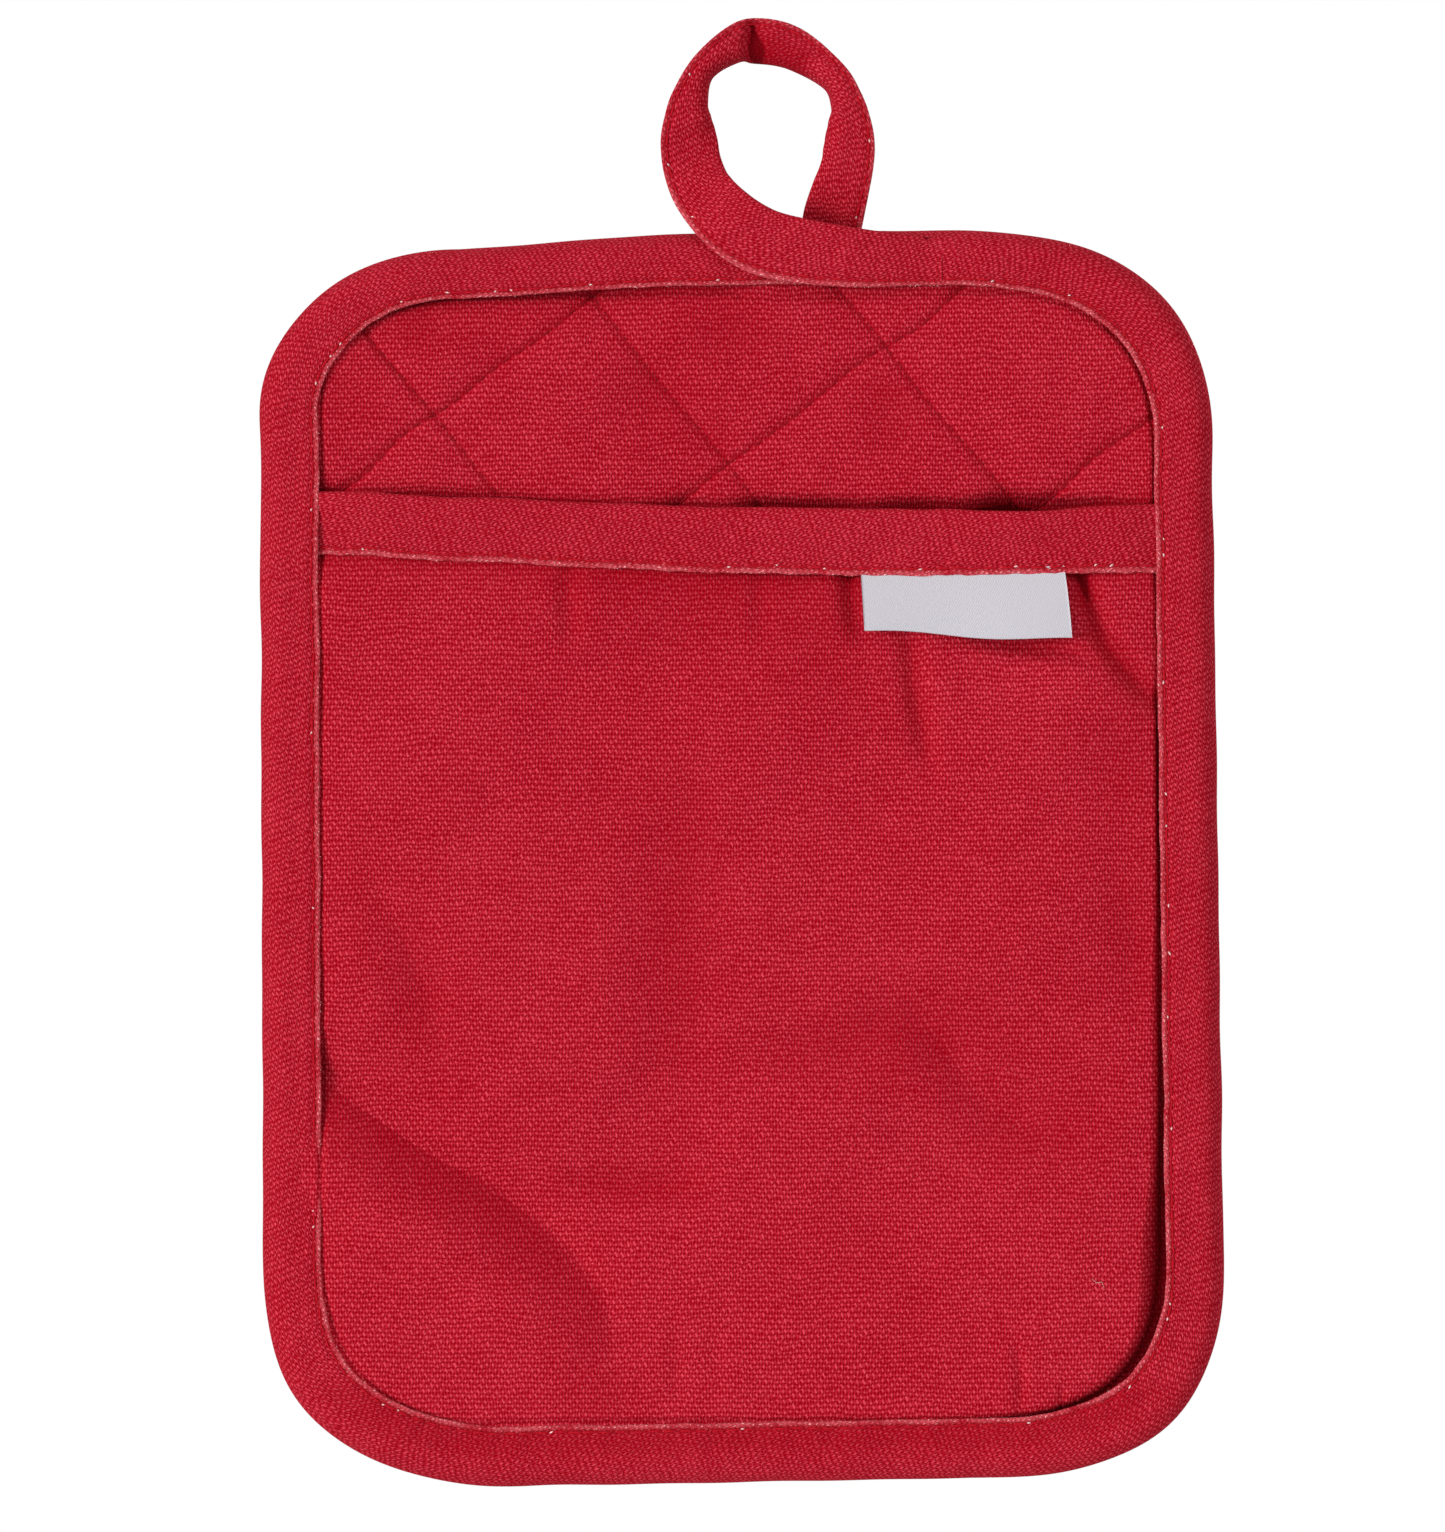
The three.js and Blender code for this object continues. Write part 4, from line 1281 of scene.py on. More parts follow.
def loop_shape(way, s, free, d, y, w, sizes):
    """Carries the tape along the loop. It starts as a skin on the edge tape's front and comes free of it, is
    pinched in and dented at the very top, where it bears on a hook, and wavers a little all along."""
    outward, rear = loop_frame(way)
    width = way[:, 4:5]
    share = d / (sizes.edge_width / MM)
    out, back, slope = (part[..., None] for part in roll_back(way, share))
    forward = 1.5 * ease((-way[:, 1] - 1.5) / 3) + 0.45 * ease((way[:, 1] - 2) / 3)
    centre = way[:, :3] + np.stack([0 * forward, -forward, 0 * forward], -1)
    near_top = from_pinch(way, s)
    inner = (1 - share)[None, :]
    pinch = 1.7 * inner**0.8 * bell(near_top / (0.6 + 4.4 * inner))
    sharp = np.where(near_top < -0.6, 0.8, 2.0)
    pinch = pinch + 1.25 * bell((near_top + 0.6) / sharp) * bell((share - 0.76) / 0.22)[None, :]
    live = 0.14 * wander(s, 19, 41)[:, None] + 0.07 * wander(s[:, None] + 0.5 * w[None, :], 4.2, 42)
    depth = y[None, :, None] + (live * free[:, None] * ease(s / 12)[:, None])[..., None] * np.cos(slope)
    outward, rear = outward[:, None, :], rear[:, None, :]
    through = rear * np.cos(slope) + outward * np.sin(slope)
    loose = centre[:, None, :] + outward * out + rear * back + through * depth
    loose[..., 1:] += pinch[..., None] * np.array([1, 0.09])
    skin = loop_skin(way, d, y, width, sizes)
    return lerp(skin, loose, free[:, None, None])


def loop_crease_shade(way, s, d, sizes):
    """Painted shade on the loop: in the pinch at its top, and on the stretch beside it that turns in over the
    hook.
    """
    share = (d / (sizes.edge_width / MM))[None, :]
    near_top = from_pinch(way, s)
    under = ease((near_top + 6) / 8) * ease((12 + 2.5 * (1 - share) - near_top) / 2.4)
    turned = under * ease((0.95 - share) / 0.5)
    wide = 0.5 + 2.4 * np.maximum(0.94 - share, 0)
    reach = np.where(near_top < -0.5, 0.6 * wide, 1.3 * wide)
    pinched = bell((near_top + 0.5) / reach) * ease((0.98 - share) / 0.14)
    return np.clip(1.15 * pinched * (0.3 + 0.7 * ease((share - 0.15) / 0.5)) + 0.72 * turned, 0, 1)


def loop_skin(way, d, y, width, sizes):
    """The tape where it still is the front of the edge tape: each point lies at its own distance from the
    hem along the edge tape's outer face, a hair proud of it in front and sunk into it behind."""
    section = edge_section(sizes)
    size = len(section["d"]) // 2
    d0, y0, u0 = section["d"][:size], section["y"][:size], section["u"][:size]
    from_hem = (sizes.edge_width / MM - d)[None, :] * np.ones_like(width)
    bind_d, bind_y = np.interp(from_hem, u0, d0), np.interp(from_hem, u0, y0)
    proud = lerp(0.3, -0.05, ease((LOOP_LEAD_IN[0] - way[:, 0:1]) / 5))
    sink = np.where(y < 0, proud, 0.4 + 0 * proud) * np.minimum(np.abs(y) / LOOP_HALF, 1)[None, :]
    x = way[:, 0:1] + 0 * bind_d
    return np.stack([x, EDGE_MIDDLE + bind_y + sink, top_edge(x, bind_d)], -1)


def loop_section(sizes):
    return folded_section(sizes.edge_width / MM, LOOP_HALF, LOOP_HALF, LOOP_LEG, sizes.row / MM, 16, 7)


def loop_row(sizes, side):
    """The line of the stitching along the loop's outer edge, and the direction out of the tape there."""
    way, s, free = loop_way(ROW_SPACING)
    row = sizes.row / MM
    d, w = np.array([sizes.edge_width / MM - row]), np.array([row])
    on = loop_shape(way, s, free, d, np.array([side * (LOOP_HALF - ROW_DEPTH + ROW_LIFT)]), w, sizes)[:, 0]
    off = loop_shape(way, s, free, d, np.array([side * (LOOP_HALF + 2.0)]), w, sizes)[:, 0]
    return on, np.where(free[:, None] > 0.3, unit(off - on), side * BACK[None])


# Label

LABEL_CORNERS = dict(
    top_left=(18.9, -91.4), top_right=(56.3, -91.8), low_left=(19.7, -105.4), low_right=(57.9, -106.9),
)
LABEL_WIDTH = 12
NO_ROW = 40  # a row of stitches so far from the hem that it leaves no groove
LABEL_HALF = 0.24
LABEL_LEG = 0.19


def label_solid():
    """A ribbon folded in half, its fold below: a thin U in depth and height carried from left to right
    between the label's four corners. Its lower edge waves, and it stands further off the cloth lower down."""
    section = folded_section(LABEL_WIDTH, LABEL_HALF, LABEL_HALF, LABEL_LEG, NO_ROW, 22, 7)
    across = np.linspace(0, 1, 90)[:, None]
    up = np.clip(section["d"] / LABEL_WIDTH, 0, 1)[None, :]
    low = [lerp(LABEL_CORNERS["low_left"][k], LABEL_CORNERS["low_right"][k], across) for k in (0, 1)]
    high = [lerp(LABEL_CORNERS["top_left"][k], LABEL_CORNERS["top_right"][k], across) for k in (0, 1)]
    bulge = 0.15 * across * np.sin(math.pi * up)
    x = lerp(low[0], high[0], up) + bulge
    wave = 0.42 * np.sin(2 * math.pi * (across * 1.15 + 0.05)) * (1 - up)
    z = lerp(low[1], high[1], up) + wave
    stand = lerp(1.5, 0.3, up**0.8) + 0.4 * (1 - up) * np.sin(2 * math.pi * across * 1.1 + 2.2)
    cloth_y = -POCKET_EDGE - POCKET_ROOM - CANVAS / 2 + hem_dip(x, z)
    y = cloth_y - stand + section["y"][None, :]
    points = np.stack(np.broadcast_arrays(x, y, z), -1)
    return points, section


# ---------------------------------------------------------------------------------------------------------
# Threads


def tubes(name, line, normal, radius, sides, taper):
    """Many small tubes at once. line is (tubes, rings, 3), normal the same or one direction for each ring.
    Rings are circles across each line, shrunk towards the ends by the taper, and a point closes each end."""
    count, rings = line.shape[:2]
    along = unit(np.gradient(line, axis=1))
    side = unit(np.cross(along, normal))
    up = np.cross(side, along)
    angle = np.linspace(0, 2 * math.pi, sides, endpoint=False)
    t = np.linspace(-1, 1, rings)
    size = radius * (1 - taper * t**4)
    circle = side[:, :, None] * np.cos(angle)[:, None] + up[:, :, None] * np.sin(angle)[:, None]
    ring = line[:, :, None] + circle * size[None, :, None, None]
    poles = np.stack([line[:, 0] - along[:, 0] * radius * 0.5, line[:, -1] + along[:, -1] * radius * 0.5], 1)
    points = np.concatenate([ring.reshape(count, -1, 3), poles], 1)
    quads, place = lattice(rings, sides, wrap_columns=True)
    i = np.arange(sides)
    first, last = rings * sides, rings * sides + 1
    start = np.stack([(i + 1) % sides, i, np.full(sides, first)], -1)
    tail = (rings - 1) * sides
    end = np.stack([tail + i, tail + (i + 1) % sides, np.full(sides, last)], -1)
    base = (np.arange(count) * points.shape[1])[:, None, None]
    faces = [(f[None] + base).reshape(-1, f.shape[1]) for f in (quads, start, end)]
    run = np.linalg.norm(line[:, -1] - line[:, 0], axis=1).mean()
    v = np.repeat(t * run / 2, sides + 1)
    u = np.tile(np.linspace(0, 1, sides + 1), rings)
    quad_uv = np.stack([u, v], -1)[place]
    cap_uv = np.zeros((sides, 3, 2))
    uv = [np.tile(w, (count, 1, 1)) for w in (quad_uv, cap_uv, cap_uv)]
    return write_mesh(name, points, faces, uv)


STITCH_RINGS = 6
STITCH_LIFT = 0.15
STITCH_DIVE = 0.3
NUB_SHARE = 0.16  # the share of the needle holes where bobbin thread shows
HAIR_REACH = (0.15, 0.42)


def stitch_lines(path, normal, sizes, seed):
    """Stitches along a path: each follows it for its length, bowed up in the middle by a sine and diving at
    both ends, with small drawn differences."""
    run = run_of(path)
    long, gap = sizes.stitch / MM, sizes.stitch_gap / MM
    starts = np.arange(gap, run[-1] - long - gap, long + gap)
    count = len(starts)
    draw = np.random.RandomState(seed)
    t = np.linspace(0, 1, STITCH_RINGS)
    s = starts[:, None] + long * t[None, :] * draw.uniform(0.93, 1.05, (count, 1))
    bow = -STITCH_DIVE + (STITCH_LIFT + STITCH_DIVE) * np.sin(math.pi * (0.08 + 0.84 * t)) ** 0.45
    normal = np.broadcast_to(normal, path.shape)
    up = at_run(normal, run, s)
    along = unit(np.gradient(path, axis=0))
    side = np.cross(at_run(along, run, s), up)
    stray = draw.uniform(-0.07, 0.07, (count, 1)) + draw.uniform(-0.1, 0.1, (count, 1)) * (t - 0.5)
    return at_run(path, run, s) + up * bow[None, :, None] + side * stray[..., None], up


def stitching(name, rows, sizes, seed):
    """All stitches of several rows, each a path and the direction out of the cloth, as one piece."""
    made = [stitch_lines(path, normal, sizes, seed + i) for i, (path, normal) in enumerate(rows)]
    line, up = (np.concatenate(part) for part in zip(*made))
    return tubes(name, line, up, sizes.thread / MM, 6, 0.55)


def nubs(rows, sizes, seed):
    """Short bits of the pale bobbin thread pulled up at some of the needle holes."""
    draw = np.random.RandomState(seed)
    lines, ups = [], []
    for path, normal in rows:
        run = run_of(path)
        pitch = (sizes.stitch + sizes.stitch_gap) / MM
        holes = np.arange(0.6 * sizes.stitch_gap / MM, run[-1] - 1, pitch)
        holes = holes[draw.uniform(size=len(holes)) < NUB_SHARE]
        t = np.linspace(-0.5, 0.5, 4)
        s = holes[:, None] + t * draw.uniform(0.35, 0.8, (len(holes), 1))
        normal = np.broadcast_to(normal, path.shape)
        up = at_run(normal, run, s)
        side = np.cross(at_run(unit(np.gradient(path, axis=0)), run, s), up)
        skew = draw.uniform(-0.45, 0.25, (len(holes), 1)) * t + draw.uniform(-0.2, 0.2, (len(holes), 1))
        lines.append(at_run(path, run, s) + up * (0.22 - 0.9 * t**2)[:, None] + side * skew[..., None])
        ups.append(up)
    return np.concatenate(lines), np.concatenate(ups)


def hairs(hems, per_mm, seed):
    """Loose fibres along the hems: each leaves its hem in a drawn direction and curls as its square."""
    draw = np.random.RandomState(seed)
    lines, ups = [], []
    for path, outward, normal in hems:
        run = run_of(path)
        count = int(run[-1] * per_mm)
        s = np.sort(draw.uniform(0, run[-1], count))
        keep = draw.uniform(size=count) < 0.45 + 0.45 * wander(s, 11, seed)
        s = s[keep]
        base = at_run(path, run, s)
        out = at_run(np.broadcast_to(outward, path.shape), run, s)
        up = at_run(np.broadcast_to(normal, path.shape), run, s)
        along = at_run(unit(np.gradient(path, axis=0)), run, s)
        ranges = ((-1.2, 1.2), (0.1, 0.6), (-1, 1), HAIR_REACH)
        turn, rise, curl, long = (draw.uniform(low, high, (len(s), 1)) for low, high in ranges)
        leave = unit(out * np.cos(turn) * 0.55 + along * np.sin(turn) + up * rise)
        bend = unit(np.cross(leave, up)) * curl
        t = np.linspace(0, 1, 4)[None, :, None]
        line = base[:, None] + long[:, None] * (leave[:, None] * t + bend[:, None] * t**2 * 0.6)
        lines.append(line)
        ups.append(np.broadcast_to(unit(np.cross(bend, leave) + 0.3 * up)[:, None], line.shape))
    return np.concatenate(lines), np.concatenate(ups)


# ---------------------------------------------------------------------------------------------------------
# Baking the placing of the pocket's and the loop's pieces

POCKET_HINGE = -250
HINGE_GIVE = 8
SEAM_AT = 11.0
SIDE_GIVE = 17.5


def bend_pocket(piece):
    """Bakes the placing of a piece of the pocket into its mesh, and works out a share of the pocket's turn
    for each point, which is not the one of a straight hinge: it is nothing at both side seams, where the
    cloth is sewn down, and rises smoothly to the whole turn over SIDE_GIVE. The share is not kept."""
    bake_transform(piece)
    place = np.zeros(len(piece.data.vertices) * 3, np.float32)
    piece.data.vertices.foreach_get("co", place)
    x, _, z = place.reshape(-1, 3).astype(float).T / MM
    left, right, _, _ = box_sides(x, np.maximum(z, BOTTOM_LEFT["z"]))
    side = ease((np.minimum(left, right) - SEAM_AT) / SIDE_GIVE)
    up = ease((z - POCKET_HINGE) / HINGE_GIVE)
    (side * up).astype(np.float32)
    return piece


def bend_loop(piece):
    """Bakes the placing of a piece of the loop into its mesh."""
    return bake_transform(piece)


# ---------------------------------------------------------------------------------------------------------
# Operators


FILM = 36.0
FLOOR_X = -3


class MITT_OT_stage(bpy.types.Operator):
    """Set up the camera, the lamps, the white surroundings and a floor that keeps the mitt's shadow."""

    bl_idname = "mitt.stage"
    bl_label = "Stage"

    def execute(self, context):
        stage = context.scene.mitt_stage
        context.scene.view_settings.view_transform = "Standard"
        self.camera(context, stage)
        self.lamp("key", stage.key, 24, (-1.0, -0.85, 0.06))
        self.lamp("fill", stage.fill, 50, (0.7, -0.8, 0.7))
        self.lamp("rear", stage.rear, 45, (0.35, 1.0, 0.6))
        self.surroundings(context, stage.ambient)
        self.floor(stage)
        return {"FINISHED"}

    def camera(self, context, stage):
        """The lens takes in the frame's height at the camera's distance, on a film FILM mm high."""
        data = bpy.data.cameras.new("camera")
        data.sensor_width = FILM
        data.lens = FILM * stage.distance / stage.view_height
        data.clip_start, data.clip_end = 0.05, 50
        camera = bpy.data.objects.new("camera", data)
        camera.location = (stage.centre_x, -stage.distance, stage.centre_z)
        camera.rotation_euler = (math.pi / 2, 0, 0)
        context.scene.collection.objects.link(camera)
        context.scene.camera = camera

    def lamp(self, name, strength, spread, towards):
        """A soft sun that shines from the direction towards."""
        data = bpy.data.lights.new(name, "SUN")
        data.energy = strength
        data.angle = math.radians(spread)
        lamp = bpy.data.objects.new(name, data)
        x, y, z = towards
        lamp.rotation_euler = (math.atan2(math.hypot(x, y), z), 0, math.atan2(x, -y))
        bpy.context.scene.collection.objects.link(lamp)

    def surroundings(self, context, ambient):
        """White to the camera and in gloss, and a plain even light to everything else."""
        world = bpy.data.worlds.new("surroundings")
        world.use_nodes = True
        context.scene.world = world
        tree = world.node_tree
        ray = tree.nodes.new("ShaderNodeLightPath")
        seen = tree.nodes.new("ShaderNodeMath")
        seen.operation = "MAXIMUM"
        either = tree.nodes.new("ShaderNodeMath")
        either.operation = "MAXIMUM"
        tree.links.new(ray.outputs["Is Camera Ray"], seen.inputs[0])
        tree.links.new(ray.outputs["Is Glossy Ray"], seen.inputs[1])
        tree.links.new(seen.outputs[0], either.inputs[0])
        tree.links.new(ray.outputs["Is Transmission Ray"], either.inputs[1])
        strength = tree.nodes.new("ShaderNodeMapRange")
        strength.inputs["To Min"].default_value = ambient
        strength.inputs["To Max"].default_value = 1
        tree.links.new(either.outputs[0], strength.inputs["Value"])
        background = tree.nodes["Background"]
        background.inputs["Color"].default_value = (1, 1, 1, 1)
        tree.links.new(strength.outputs["Result"], background.inputs["Strength"])

    def floor(self, stage):
        """A disc below the hanging mitt: matt and pale in its middle, plain white to the camera beyond."""
        middle = np.array([FLOOR_X, 0, (CAD_BOX[0][2] - stage.floor_drop) / MM])
        turn = np.linspace(0, 2 * math.pi, 96, endpoint=False)
        radius = np.array([0.15, 0.6, 1]) * stage.floor_radius / MM
        ring = np.stack([np.cos(turn), np.sin(turn), 0 * turn], -1)
        points = radius[:, None, None] * ring[None] + middle
        quads, _ = lattice(len(radius), len(turn), wrap_columns=True)
        i = np.arange(len(turn))
        fan = np.stack([i, np.roll(i, -1), np.full(len(i), len(radius) * len(turn))], -1)
        mesh_points = np.concatenate([points.reshape(-1, 3), middle[None]])
        floor = write_mesh("floor", mesh_points, [quads[:, ::-1], fan])
        floor.data.materials.append(self.floor_material())

    def floor_material(self):
        """Matt pale grey that turns to plain white with the distance from the middle, where it is seen."""
        shade = Shade("floor", Roughness=1.0, Specular_IOR_Level=0.0)
        shade.surface.inputs["Base Color"].default_value = (0.9, 0.9, 0.9, 1)
        place = shade.node("ShaderNodeTexCoord", output="Object")
        x = shade.node("ShaderNodeSeparateXYZ", sockets={0: place})
        y = Signal(shade, x.socket.node.outputs["Y"])
        away = (x * x * 0.55 + y * y * 1.9).power(0.5)
        ray = shade.node("ShaderNodeLightPath", output="Is Camera Ray")
        glossy = Signal(shade, ray.socket.node.outputs["Is Glossy Ray"])
        through = Signal(shade, ray.socket.node.outputs["Is Transmission Ray"])
        seen = ray.above(glossy).above(through)
        white = shade.node("ShaderNodeEmission")
        factor = away.rise(0.1, 0.3) * seen
        mixed = shade.node(
            "ShaderNodeMixShader", None, {0: factor, 1: Signal(shade, shade.surface.outputs[0]), 2: white},
        )
        output = shade.tree.nodes["Material Output"]
        shade.tree.links.new(mixed.socket, output.inputs["Surface"])
        return shade.material


class MITT_OT_face(bpy.types.Operator):
    """Make the quilted canvas face of the pad."""

    bl_idname = "mitt.face"
    bl_label = "Quilted face"

    def execute(self, context):
        front, rear = face_sheet(context.scene.mitt_sizes.puff / MM)
        piece = solid_between("quilted_face", front, rear, sheet_marks(front, *FACE_SHADE_MARKS))
        finish_piece(piece, materials(context)("washed_canvas"))
        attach(piece, "pad")
        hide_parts("face_panel")
        return {"FINISHED"}


class MITT_OT_wadding(bpy.types.Operator):
    """Make the cotton wadding that the face and the back are quilted to."""

    bl_idname = "mitt.wadding"
    bl_label = "Wadding"

    def execute(self, context):
        piece = solid_between("wadding_layer", *wadding_between(context.scene.mitt_sizes))
        finish_piece(piece, materials(context)("cotton_batting"))
        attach(piece, "pad")
        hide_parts("wadding")
        return {"FINISHED"}


class MITT_OT_back(bpy.types.Operator):
    """Make the quilted canvas back of the pad."""

    bl_idname = "mitt.back"
    bl_label = "Quilted back"

    def execute(self, context):
        rear, front = back_sheet(context.scene.mitt_sizes.back_puff / MM)
        piece = solid_between("quilted_back", rear, front, sheet_marks(rear, quilt_row_shade))
        finish_piece(piece, materials(context)("washed_canvas"))
        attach(piece, "pad")
        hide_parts("back_panel")
        return {"FINISHED"}


class MITT_OT_edge_tape(bpy.types.Operator):
    """Make the folded tape round the pad."""

    bl_idname = "mitt.edge_tape"
    bl_label = "Edge tape"

    def execute(self, context):
        sizes = context.scene.mitt_sizes
        section = edge_section(sizes)
        tau, s = rim_stations(1.0)
        points = edge_shape(tau[:-1], s[:-1], section["d"], section["y"], section["w"])
        worn = worn_mark(section["w"], s[:-1], sizes.row / MM, 51)
        w = section["w"][None, :]
        crease = np.clip(stitch_groove_shade(w, sizes.row / MM) + bottom_tape_darker(w, points[..., 2]), 0, 1)
        piece = sweep("edge_tape", points, section["u"], s[:-1], True, {"worn": worn, "crease": crease})
        finish_piece(piece, materials(context)("washed_tape"))
        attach(piece, "pad")
        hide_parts("edge_binding")
        return {"FINISHED"}


class MITT_OT_pocket(bpy.types.Operator):
    """Make the plain canvas front of the pocket."""

    bl_idname = "mitt.pocket"
    bl_label = "Pocket"

    def execute(self, context):
        front, rear = pocket_sheet()
        piece = solid_between("pocket_cloth", front, rear, sheet_marks(front, pocket_fold_shade))
        finish_piece(piece, materials(context)("washed_canvas"))
        bend_pocket(piece)
        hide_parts("pocket_panel")
        return {"FINISHED"}


class MITT_OT_mouth_tape(bpy.types.Operator):
    """Make the folded tape over the pocket's mouth."""

    bl_idname = "mitt.mouth_tape"
    bl_label = "Mouth tape"

    def execute(self, context):
        sizes = context.scene.mitt_sizes
        section = mouth_section(sizes)
        x = mouth_stations(0.8)
        points = mouth_shape(x, section["d"], section["y"], section["w"], sizes)
        worn = worn_mark(section["w"], x, sizes.row / MM, 61)
        crease = stitch_groove_shade(section["w"][None, :], sizes.row / MM) + 0 * worn
        piece = sweep("mouth_tape", points, section["u"], -x, False, {"worn": worn, "crease": crease})
        finish_piece(piece, materials(context)("washed_tape"))
        bend_pocket(piece)
        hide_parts("pocket_binding")
        return {"FINISHED"}


class MITT_OT_hang_loop(bpy.types.Operator):
    """Make the free end of the tape: off the top edge, round the loop and down behind."""

    bl_idname = "mitt.hang_loop"
    bl_label = "Hang loop"

    def execute(self, context):
        sizes = context.scene.mitt_sizes
        section = loop_section(sizes)
        way, s, free = loop_way(0.6)
        points = loop_shape(way, s, free, section["d"], section["y"], section["w"], sizes)
        less_above = lerp(1, 0.3, ease((way[:, 2:3] + 30) / 14))
        worn = worn_mark(section["w"], s, sizes.row / MM, 71) * less_above
        start = loop_start_run()
        crease = loop_crease_shade(way, s, section["d"], sizes) + stitch_groove_shade(section["w"][None, :], sizes.row / MM)
        marks = {"worn": worn, "crease": np.clip(crease, 0, 1)}
        piece = sweep("loop_tape", points, section["u"], start + s, False, marks)
        finish_piece(piece, materials(context)("washed_tape"))
        bend_loop(piece)
        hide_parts("hang_loop", "loop_start", "loop_end")
        return {"FINISHED"}


def loop_start_run():
    """The edge tape's running length where the loop's tape starts on it, so that the weave runs on."""
    tau, s = rim_stations(ROW_SPACING)
    x, z = rim(RIM_MIDDLE, tau)
    return s[np.argmin(np.abs(x - LOOP_LEAD_IN[0]) + 99 * (z < -50))]


class MITT_OT_label(bpy.types.Operator):
    """Make the bare satin label that hangs from the mouth's tape."""

    bl_idname = "mitt.label"
    bl_label = "Label"

    def execute(self, context):
        points, section = label_solid()
        v = np.linspace(0, 38, len(points))
        piece = sweep("satin_label", points, section["u"], v, False)
        finish_piece(piece, materials(context)("satin_ribbon"))
        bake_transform(piece)
        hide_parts("label")
        return {"FINISHED"}


class MITT_OT_stitching(bpy.types.Operator):
    """Sew the topstitching of the tapes and the quilting rows, stitch by stitch."""

    bl_idname = "mitt.stitching"
    bl_label = "Stitching"

    def execute(self, context):
        sizes = context.scene.mitt_sizes
        get = materials(context)
        edge = stitching("edge_topstitching", edge_rows(sizes), sizes, 81)
        puff, back_puff = sizes.puff / MM, sizes.back_puff / MM
        face_rows = [(p, FRONT) for p in quilt_paths(lambda x, z: face_relief(x, z, puff), -1, QUILT_LIFT)]
        back_rows = [(p, BACK) for p in quilt_paths(lambda x, z: back_relief(x, z, back_puff), 1, QUILT_LIFT)]
        quilt = stitching("quilting_front", face_rows, sizes, 82)
        quilt_back = stitching("quilting_back", back_rows, sizes, 83)
        on_pad = ((edge, "sewing_thread"), (quilt, "quilting_thread"), (quilt_back, "quilting_thread"))
        for piece, made_of in on_pad:
            finish_piece(piece, get(made_of))
            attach(piece, "pad")
        mouth_rows = [(mouth_row(sizes, -1), FRONT), (mouth_row(sizes, 1), BACK)]
        mouth = stitching("mouth_topstitching", mouth_rows, sizes, 84)
        finish_piece(mouth, get("sewing_thread"))
        bend_pocket(mouth)
        loop_rows = [loop_row(sizes, side) for side in (-1, 1)]
        loop = stitching("loop_topstitching", loop_rows + loop_end_rows(sizes), sizes, 85)
        finish_piece(loop, get("sewing_thread"))
        bend_loop(loop)
        return {"FINISHED"}


def edge_rows(sizes):
    """Both rows round the edge. The front one stops where the loop's tape, which carries it on, begins."""
    _, s = rim_stations(ROW_SPACING)
    end = int(np.argmin(np.abs(s - loop_start_run())))
    return [(edge_row(sizes, -1, ROW_LIFT)[:end], FRONT), (edge_row(sizes, 1, ROW_LIFT), BACK)]


def mouth_row(sizes, side):
    """The line of the topstitching along the lower edge of the mouth's tape."""
    x = mouth_stations(ROW_SPACING)
    d = np.array([(sizes.mouth_width - sizes.row) / MM])
    y = np.array([side * (MOUTH_HALF - ROW_DEPTH + ROW_LIFT)])
    return mouth_shape(x, d, y, np.array([sizes.row / MM]), sizes)[:, 0]


def loop_end_rows(sizes):
    """Three short rows across the tape's sewn end, behind the pad."""
    way, s, free = loop_way(ROW_SPACING)
    rows = []
    for from_end in (1.6, 3.2, 6.0):
        i = int(np.argmin(np.abs(s - (s[-1] - from_end))))
        d = np.linspace(1.2, sizes.edge_width / MM - 1.2, 20)
        y = np.full(len(d), LOOP_HALF + 0.02)
        w = np.full(len(d), 3.0)
        rows.append((loop_shape(way, s, free, d, y, w, sizes)[i], BACK))
    return rows


LINT_RADIUS = 0.05
LINT_SIDES = 4
BOBBIN_SWELL = 2.9


class MITT_OT_loose_threads(bpy.types.Operator):
    """Scatter the pale bobbin thread at the needle holes and the fibres along the worn hems."""

    bl_idname = "mitt.loose_threads"
    bl_label = "Loose threads"

    def execute(self, context):
        sizes = context.scene.mitt_sizes
        lint = materials(context)("pale_lint")
        edge = [(edge_row(sizes, -1, ROW_LIFT), FRONT), (edge_row(sizes, 1, ROW_LIFT), BACK)]
        mouth = [(mouth_row(sizes, -1), FRONT)]
        loop = [loop_row(sizes, -1)]
        hems = hem_lines(sizes)
        for name, rows, hem, fix, seed in (
            ("edge_lint", edge, hems["edge"], lambda p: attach(p, "pad"), 91),
            ("mouth_lint", mouth, hems["mouth"], bend_pocket, 92),
            ("loop_lint", loop, hems["loop"], bend_loop, 93),
        ):
            bits, bit_up = nubs(rows, sizes, seed)
            fibres, fibre_up = hairs(hem, 1.0, seed + 10)
            if name == "mouth_lint":
                fibres, fibre_up = with_stray(fibres, fibre_up)
            line = np.concatenate([bits, fibres])
            up = np.concatenate([bit_up, fibre_up])
            piece = tubes(name, line, up, LINT_RADIUS, LINT_SIDES, 0.5)
            thicken(piece, len(bits), line)
            finish_piece(piece, lint)
            fix(piece)
        return {"FINISHED"}


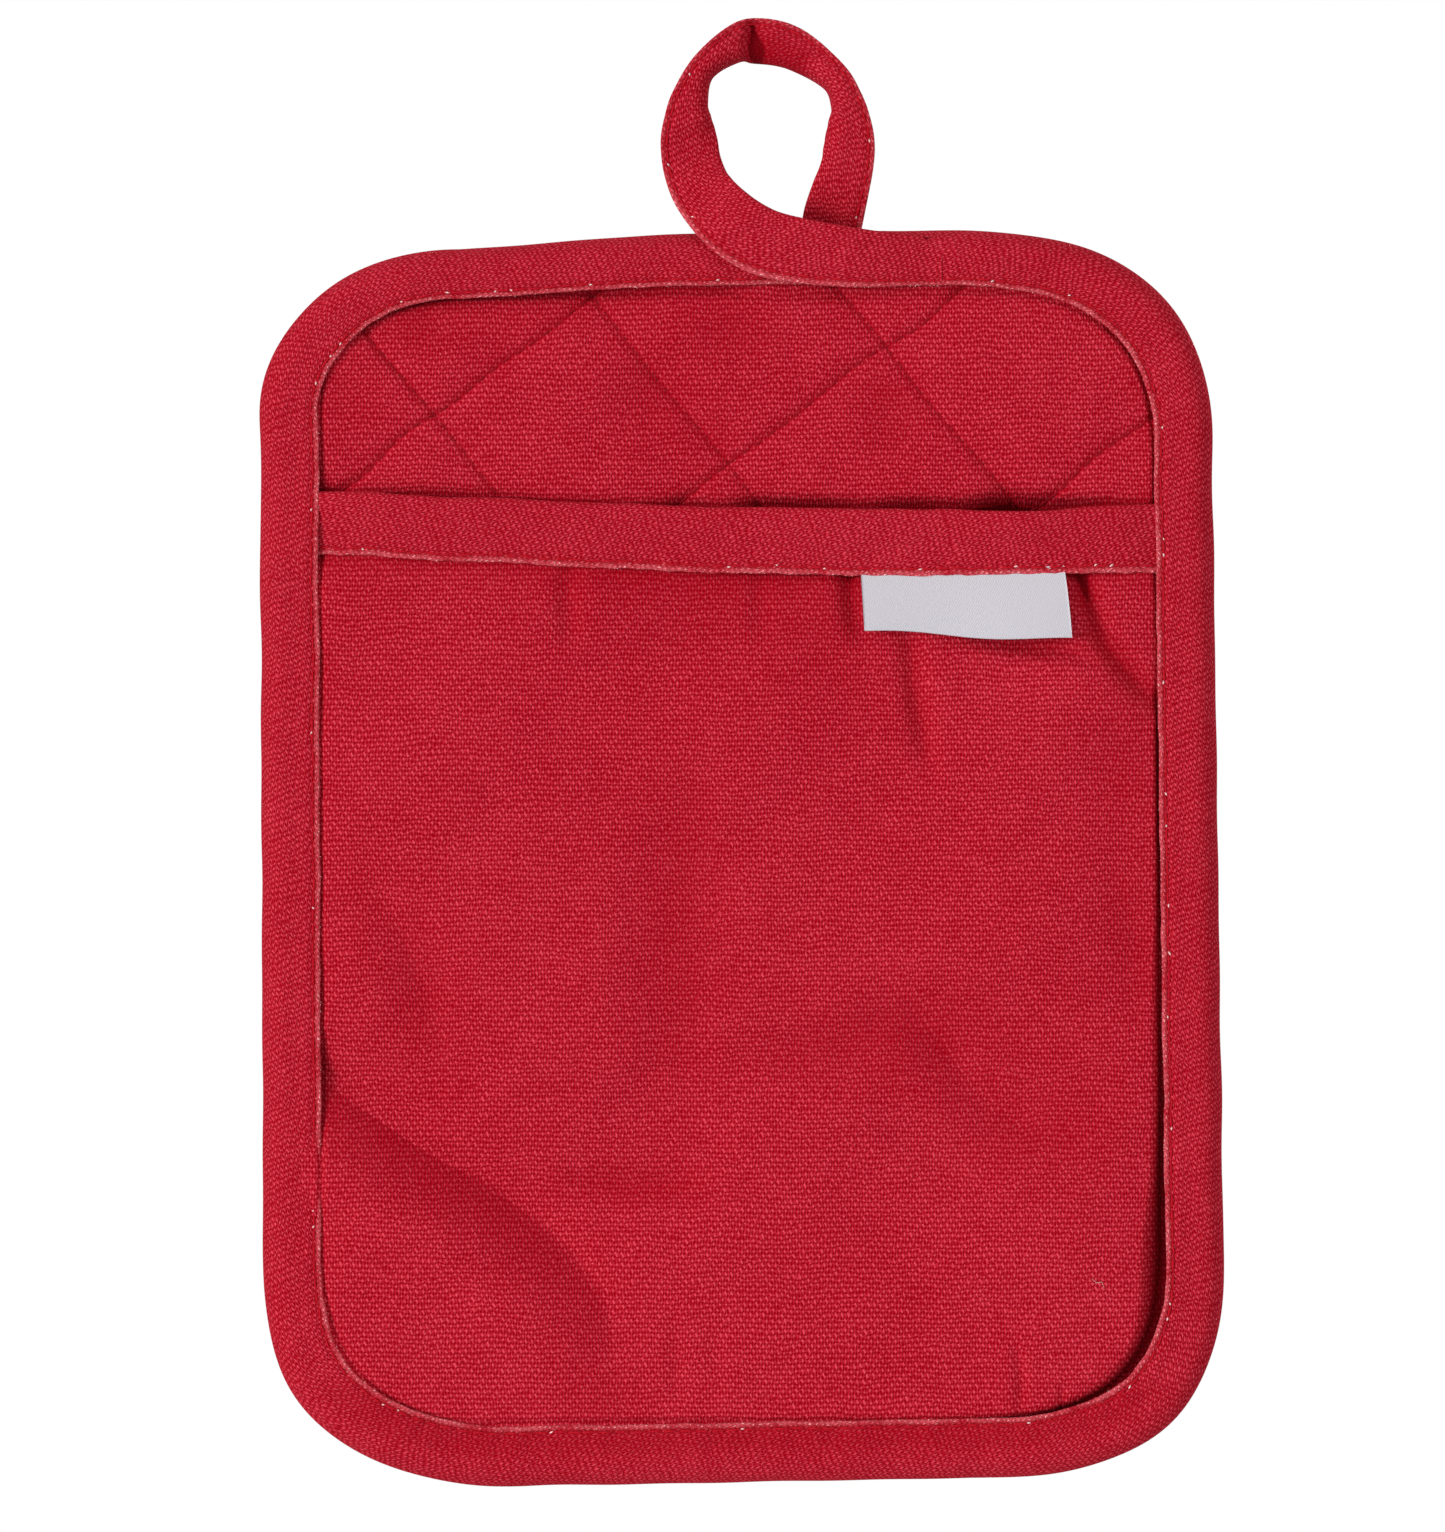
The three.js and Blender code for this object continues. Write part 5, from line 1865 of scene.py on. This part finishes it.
def hem_lines(sizes):
    """The hems as lines with the direction away from the tape and the one out of it."""
    tau, s = rim_stations(ROW_SPACING)
    width = sizes.edge_width / MM
    w = np.array([0.2, 1.2])
    y = np.full(2, -(sizes.edge_half / MM - 0.25))
    edge = edge_shape(tau, s, width - w, y, w)
    mouth_width = sizes.mouth_width / MM
    mouth = mouth_shape(mouth_stations(ROW_SPACING), mouth_width - w, np.full(2, -MOUTH_HALF + 0.2), w, sizes)
    way, run, free = loop_way(ROW_SPACING)
    loop = loop_shape(way, run, free, width - w, np.full(2, -LOOP_HALF + 0.3), w, sizes)
    return {
        name: [(line[:, 0], unit(line[:, 0] - line[:, 1]), FRONT)]
        for name, line in (("edge", edge), ("mouth", mouth), ("loop", loop))
    }


def with_stray(fibres, ups):
    """One more fibre, curled, that lies on the pocket's cloth low on the right."""
    x, z = np.array([61.6, 62.4, 63.4, 63.9]), np.array([-224.4, -225.2, -225.0, -226.2])
    y = -pocket_relief(x, z) - CANVAS / 2 - 0.1
    line = np.stack([x, y, z], -1)[None]
    return np.concatenate([fibres, line]), np.concatenate([ups, np.broadcast_to(FRONT, line.shape)])


def thicken(piece, bits, line):
    """The bits of bobbin thread are thicker than the fibres: their rings are spread from their lines."""
    size = len(piece.data.vertices) // len(line)
    place = np.zeros(len(piece.data.vertices) * 3, np.float32)
    piece.data.vertices.foreach_get("co", place)
    place = place.reshape(len(line), size, 3)
    rings = line.shape[1]
    count = rings * LINT_SIDES
    ring = place[:bits, :count].reshape(bits, rings, LINT_SIDES, 3)
    centre = line[:bits, :, None] * MM
    place[:bits, :count] = (centre + (ring - centre) * BOBBIN_SWELL).reshape(bits, -1, 3)
    piece.data.vertices.foreach_set("co", place.ravel())
    piece.data.update()


OPERATORS = (
    MITT_OT_stage,
    MITT_OT_face,
    MITT_OT_wadding,
    MITT_OT_back,
    MITT_OT_edge_tape,
    MITT_OT_pocket,
    MITT_OT_mouth_tape,
    MITT_OT_hang_loop,
    MITT_OT_label,
    MITT_OT_stitching,
    MITT_OT_loose_threads,
)


class MITT_PT_panel(bpy.types.Panel):
    """Lists the sizes, the colours and a button for each piece."""

    bl_idname = "MITT_PT_panel"
    bl_label = "Oven Mitt"
    bl_space_type = "VIEW_3D"
    bl_region_type = "UI"
    bl_category = "Oven Mitt"

    def draw(self, context):
        for group in (context.scene.mitt_sizes, context.scene.mitt_cloth, context.scene.mitt_stage):
            box = self.layout.box()
            for name in group.__annotations__:
                box.prop(group, name)
        for operator in OPERATORS:
            self.layout.operator(operator.bl_idname)


GROUPS = {"mitt_sizes": MittSizes, "mitt_cloth": MittCloth, "mitt_stage": MittStage}


def register():
    for item in (*GROUPS.values(), *OPERATORS, MITT_PT_panel):
        bpy.utils.register_class(item)
    for name, group in GROUPS.items():
        setattr(bpy.types.Scene, name, PointerProperty(type=group))


def unregister():
    for name in GROUPS:
        delattr(bpy.types.Scene, name)
    for item in reversed((*GROUPS.values(), *OPERATORS, MITT_PT_panel)):
        bpy.utils.unregister_class(item)


def main():
    register()
    for operator in OPERATORS:
        group, name = operator.bl_idname.split(".")
        getattr(getattr(bpy.ops, group), name)()


if __name__ == "__main__":
    main()
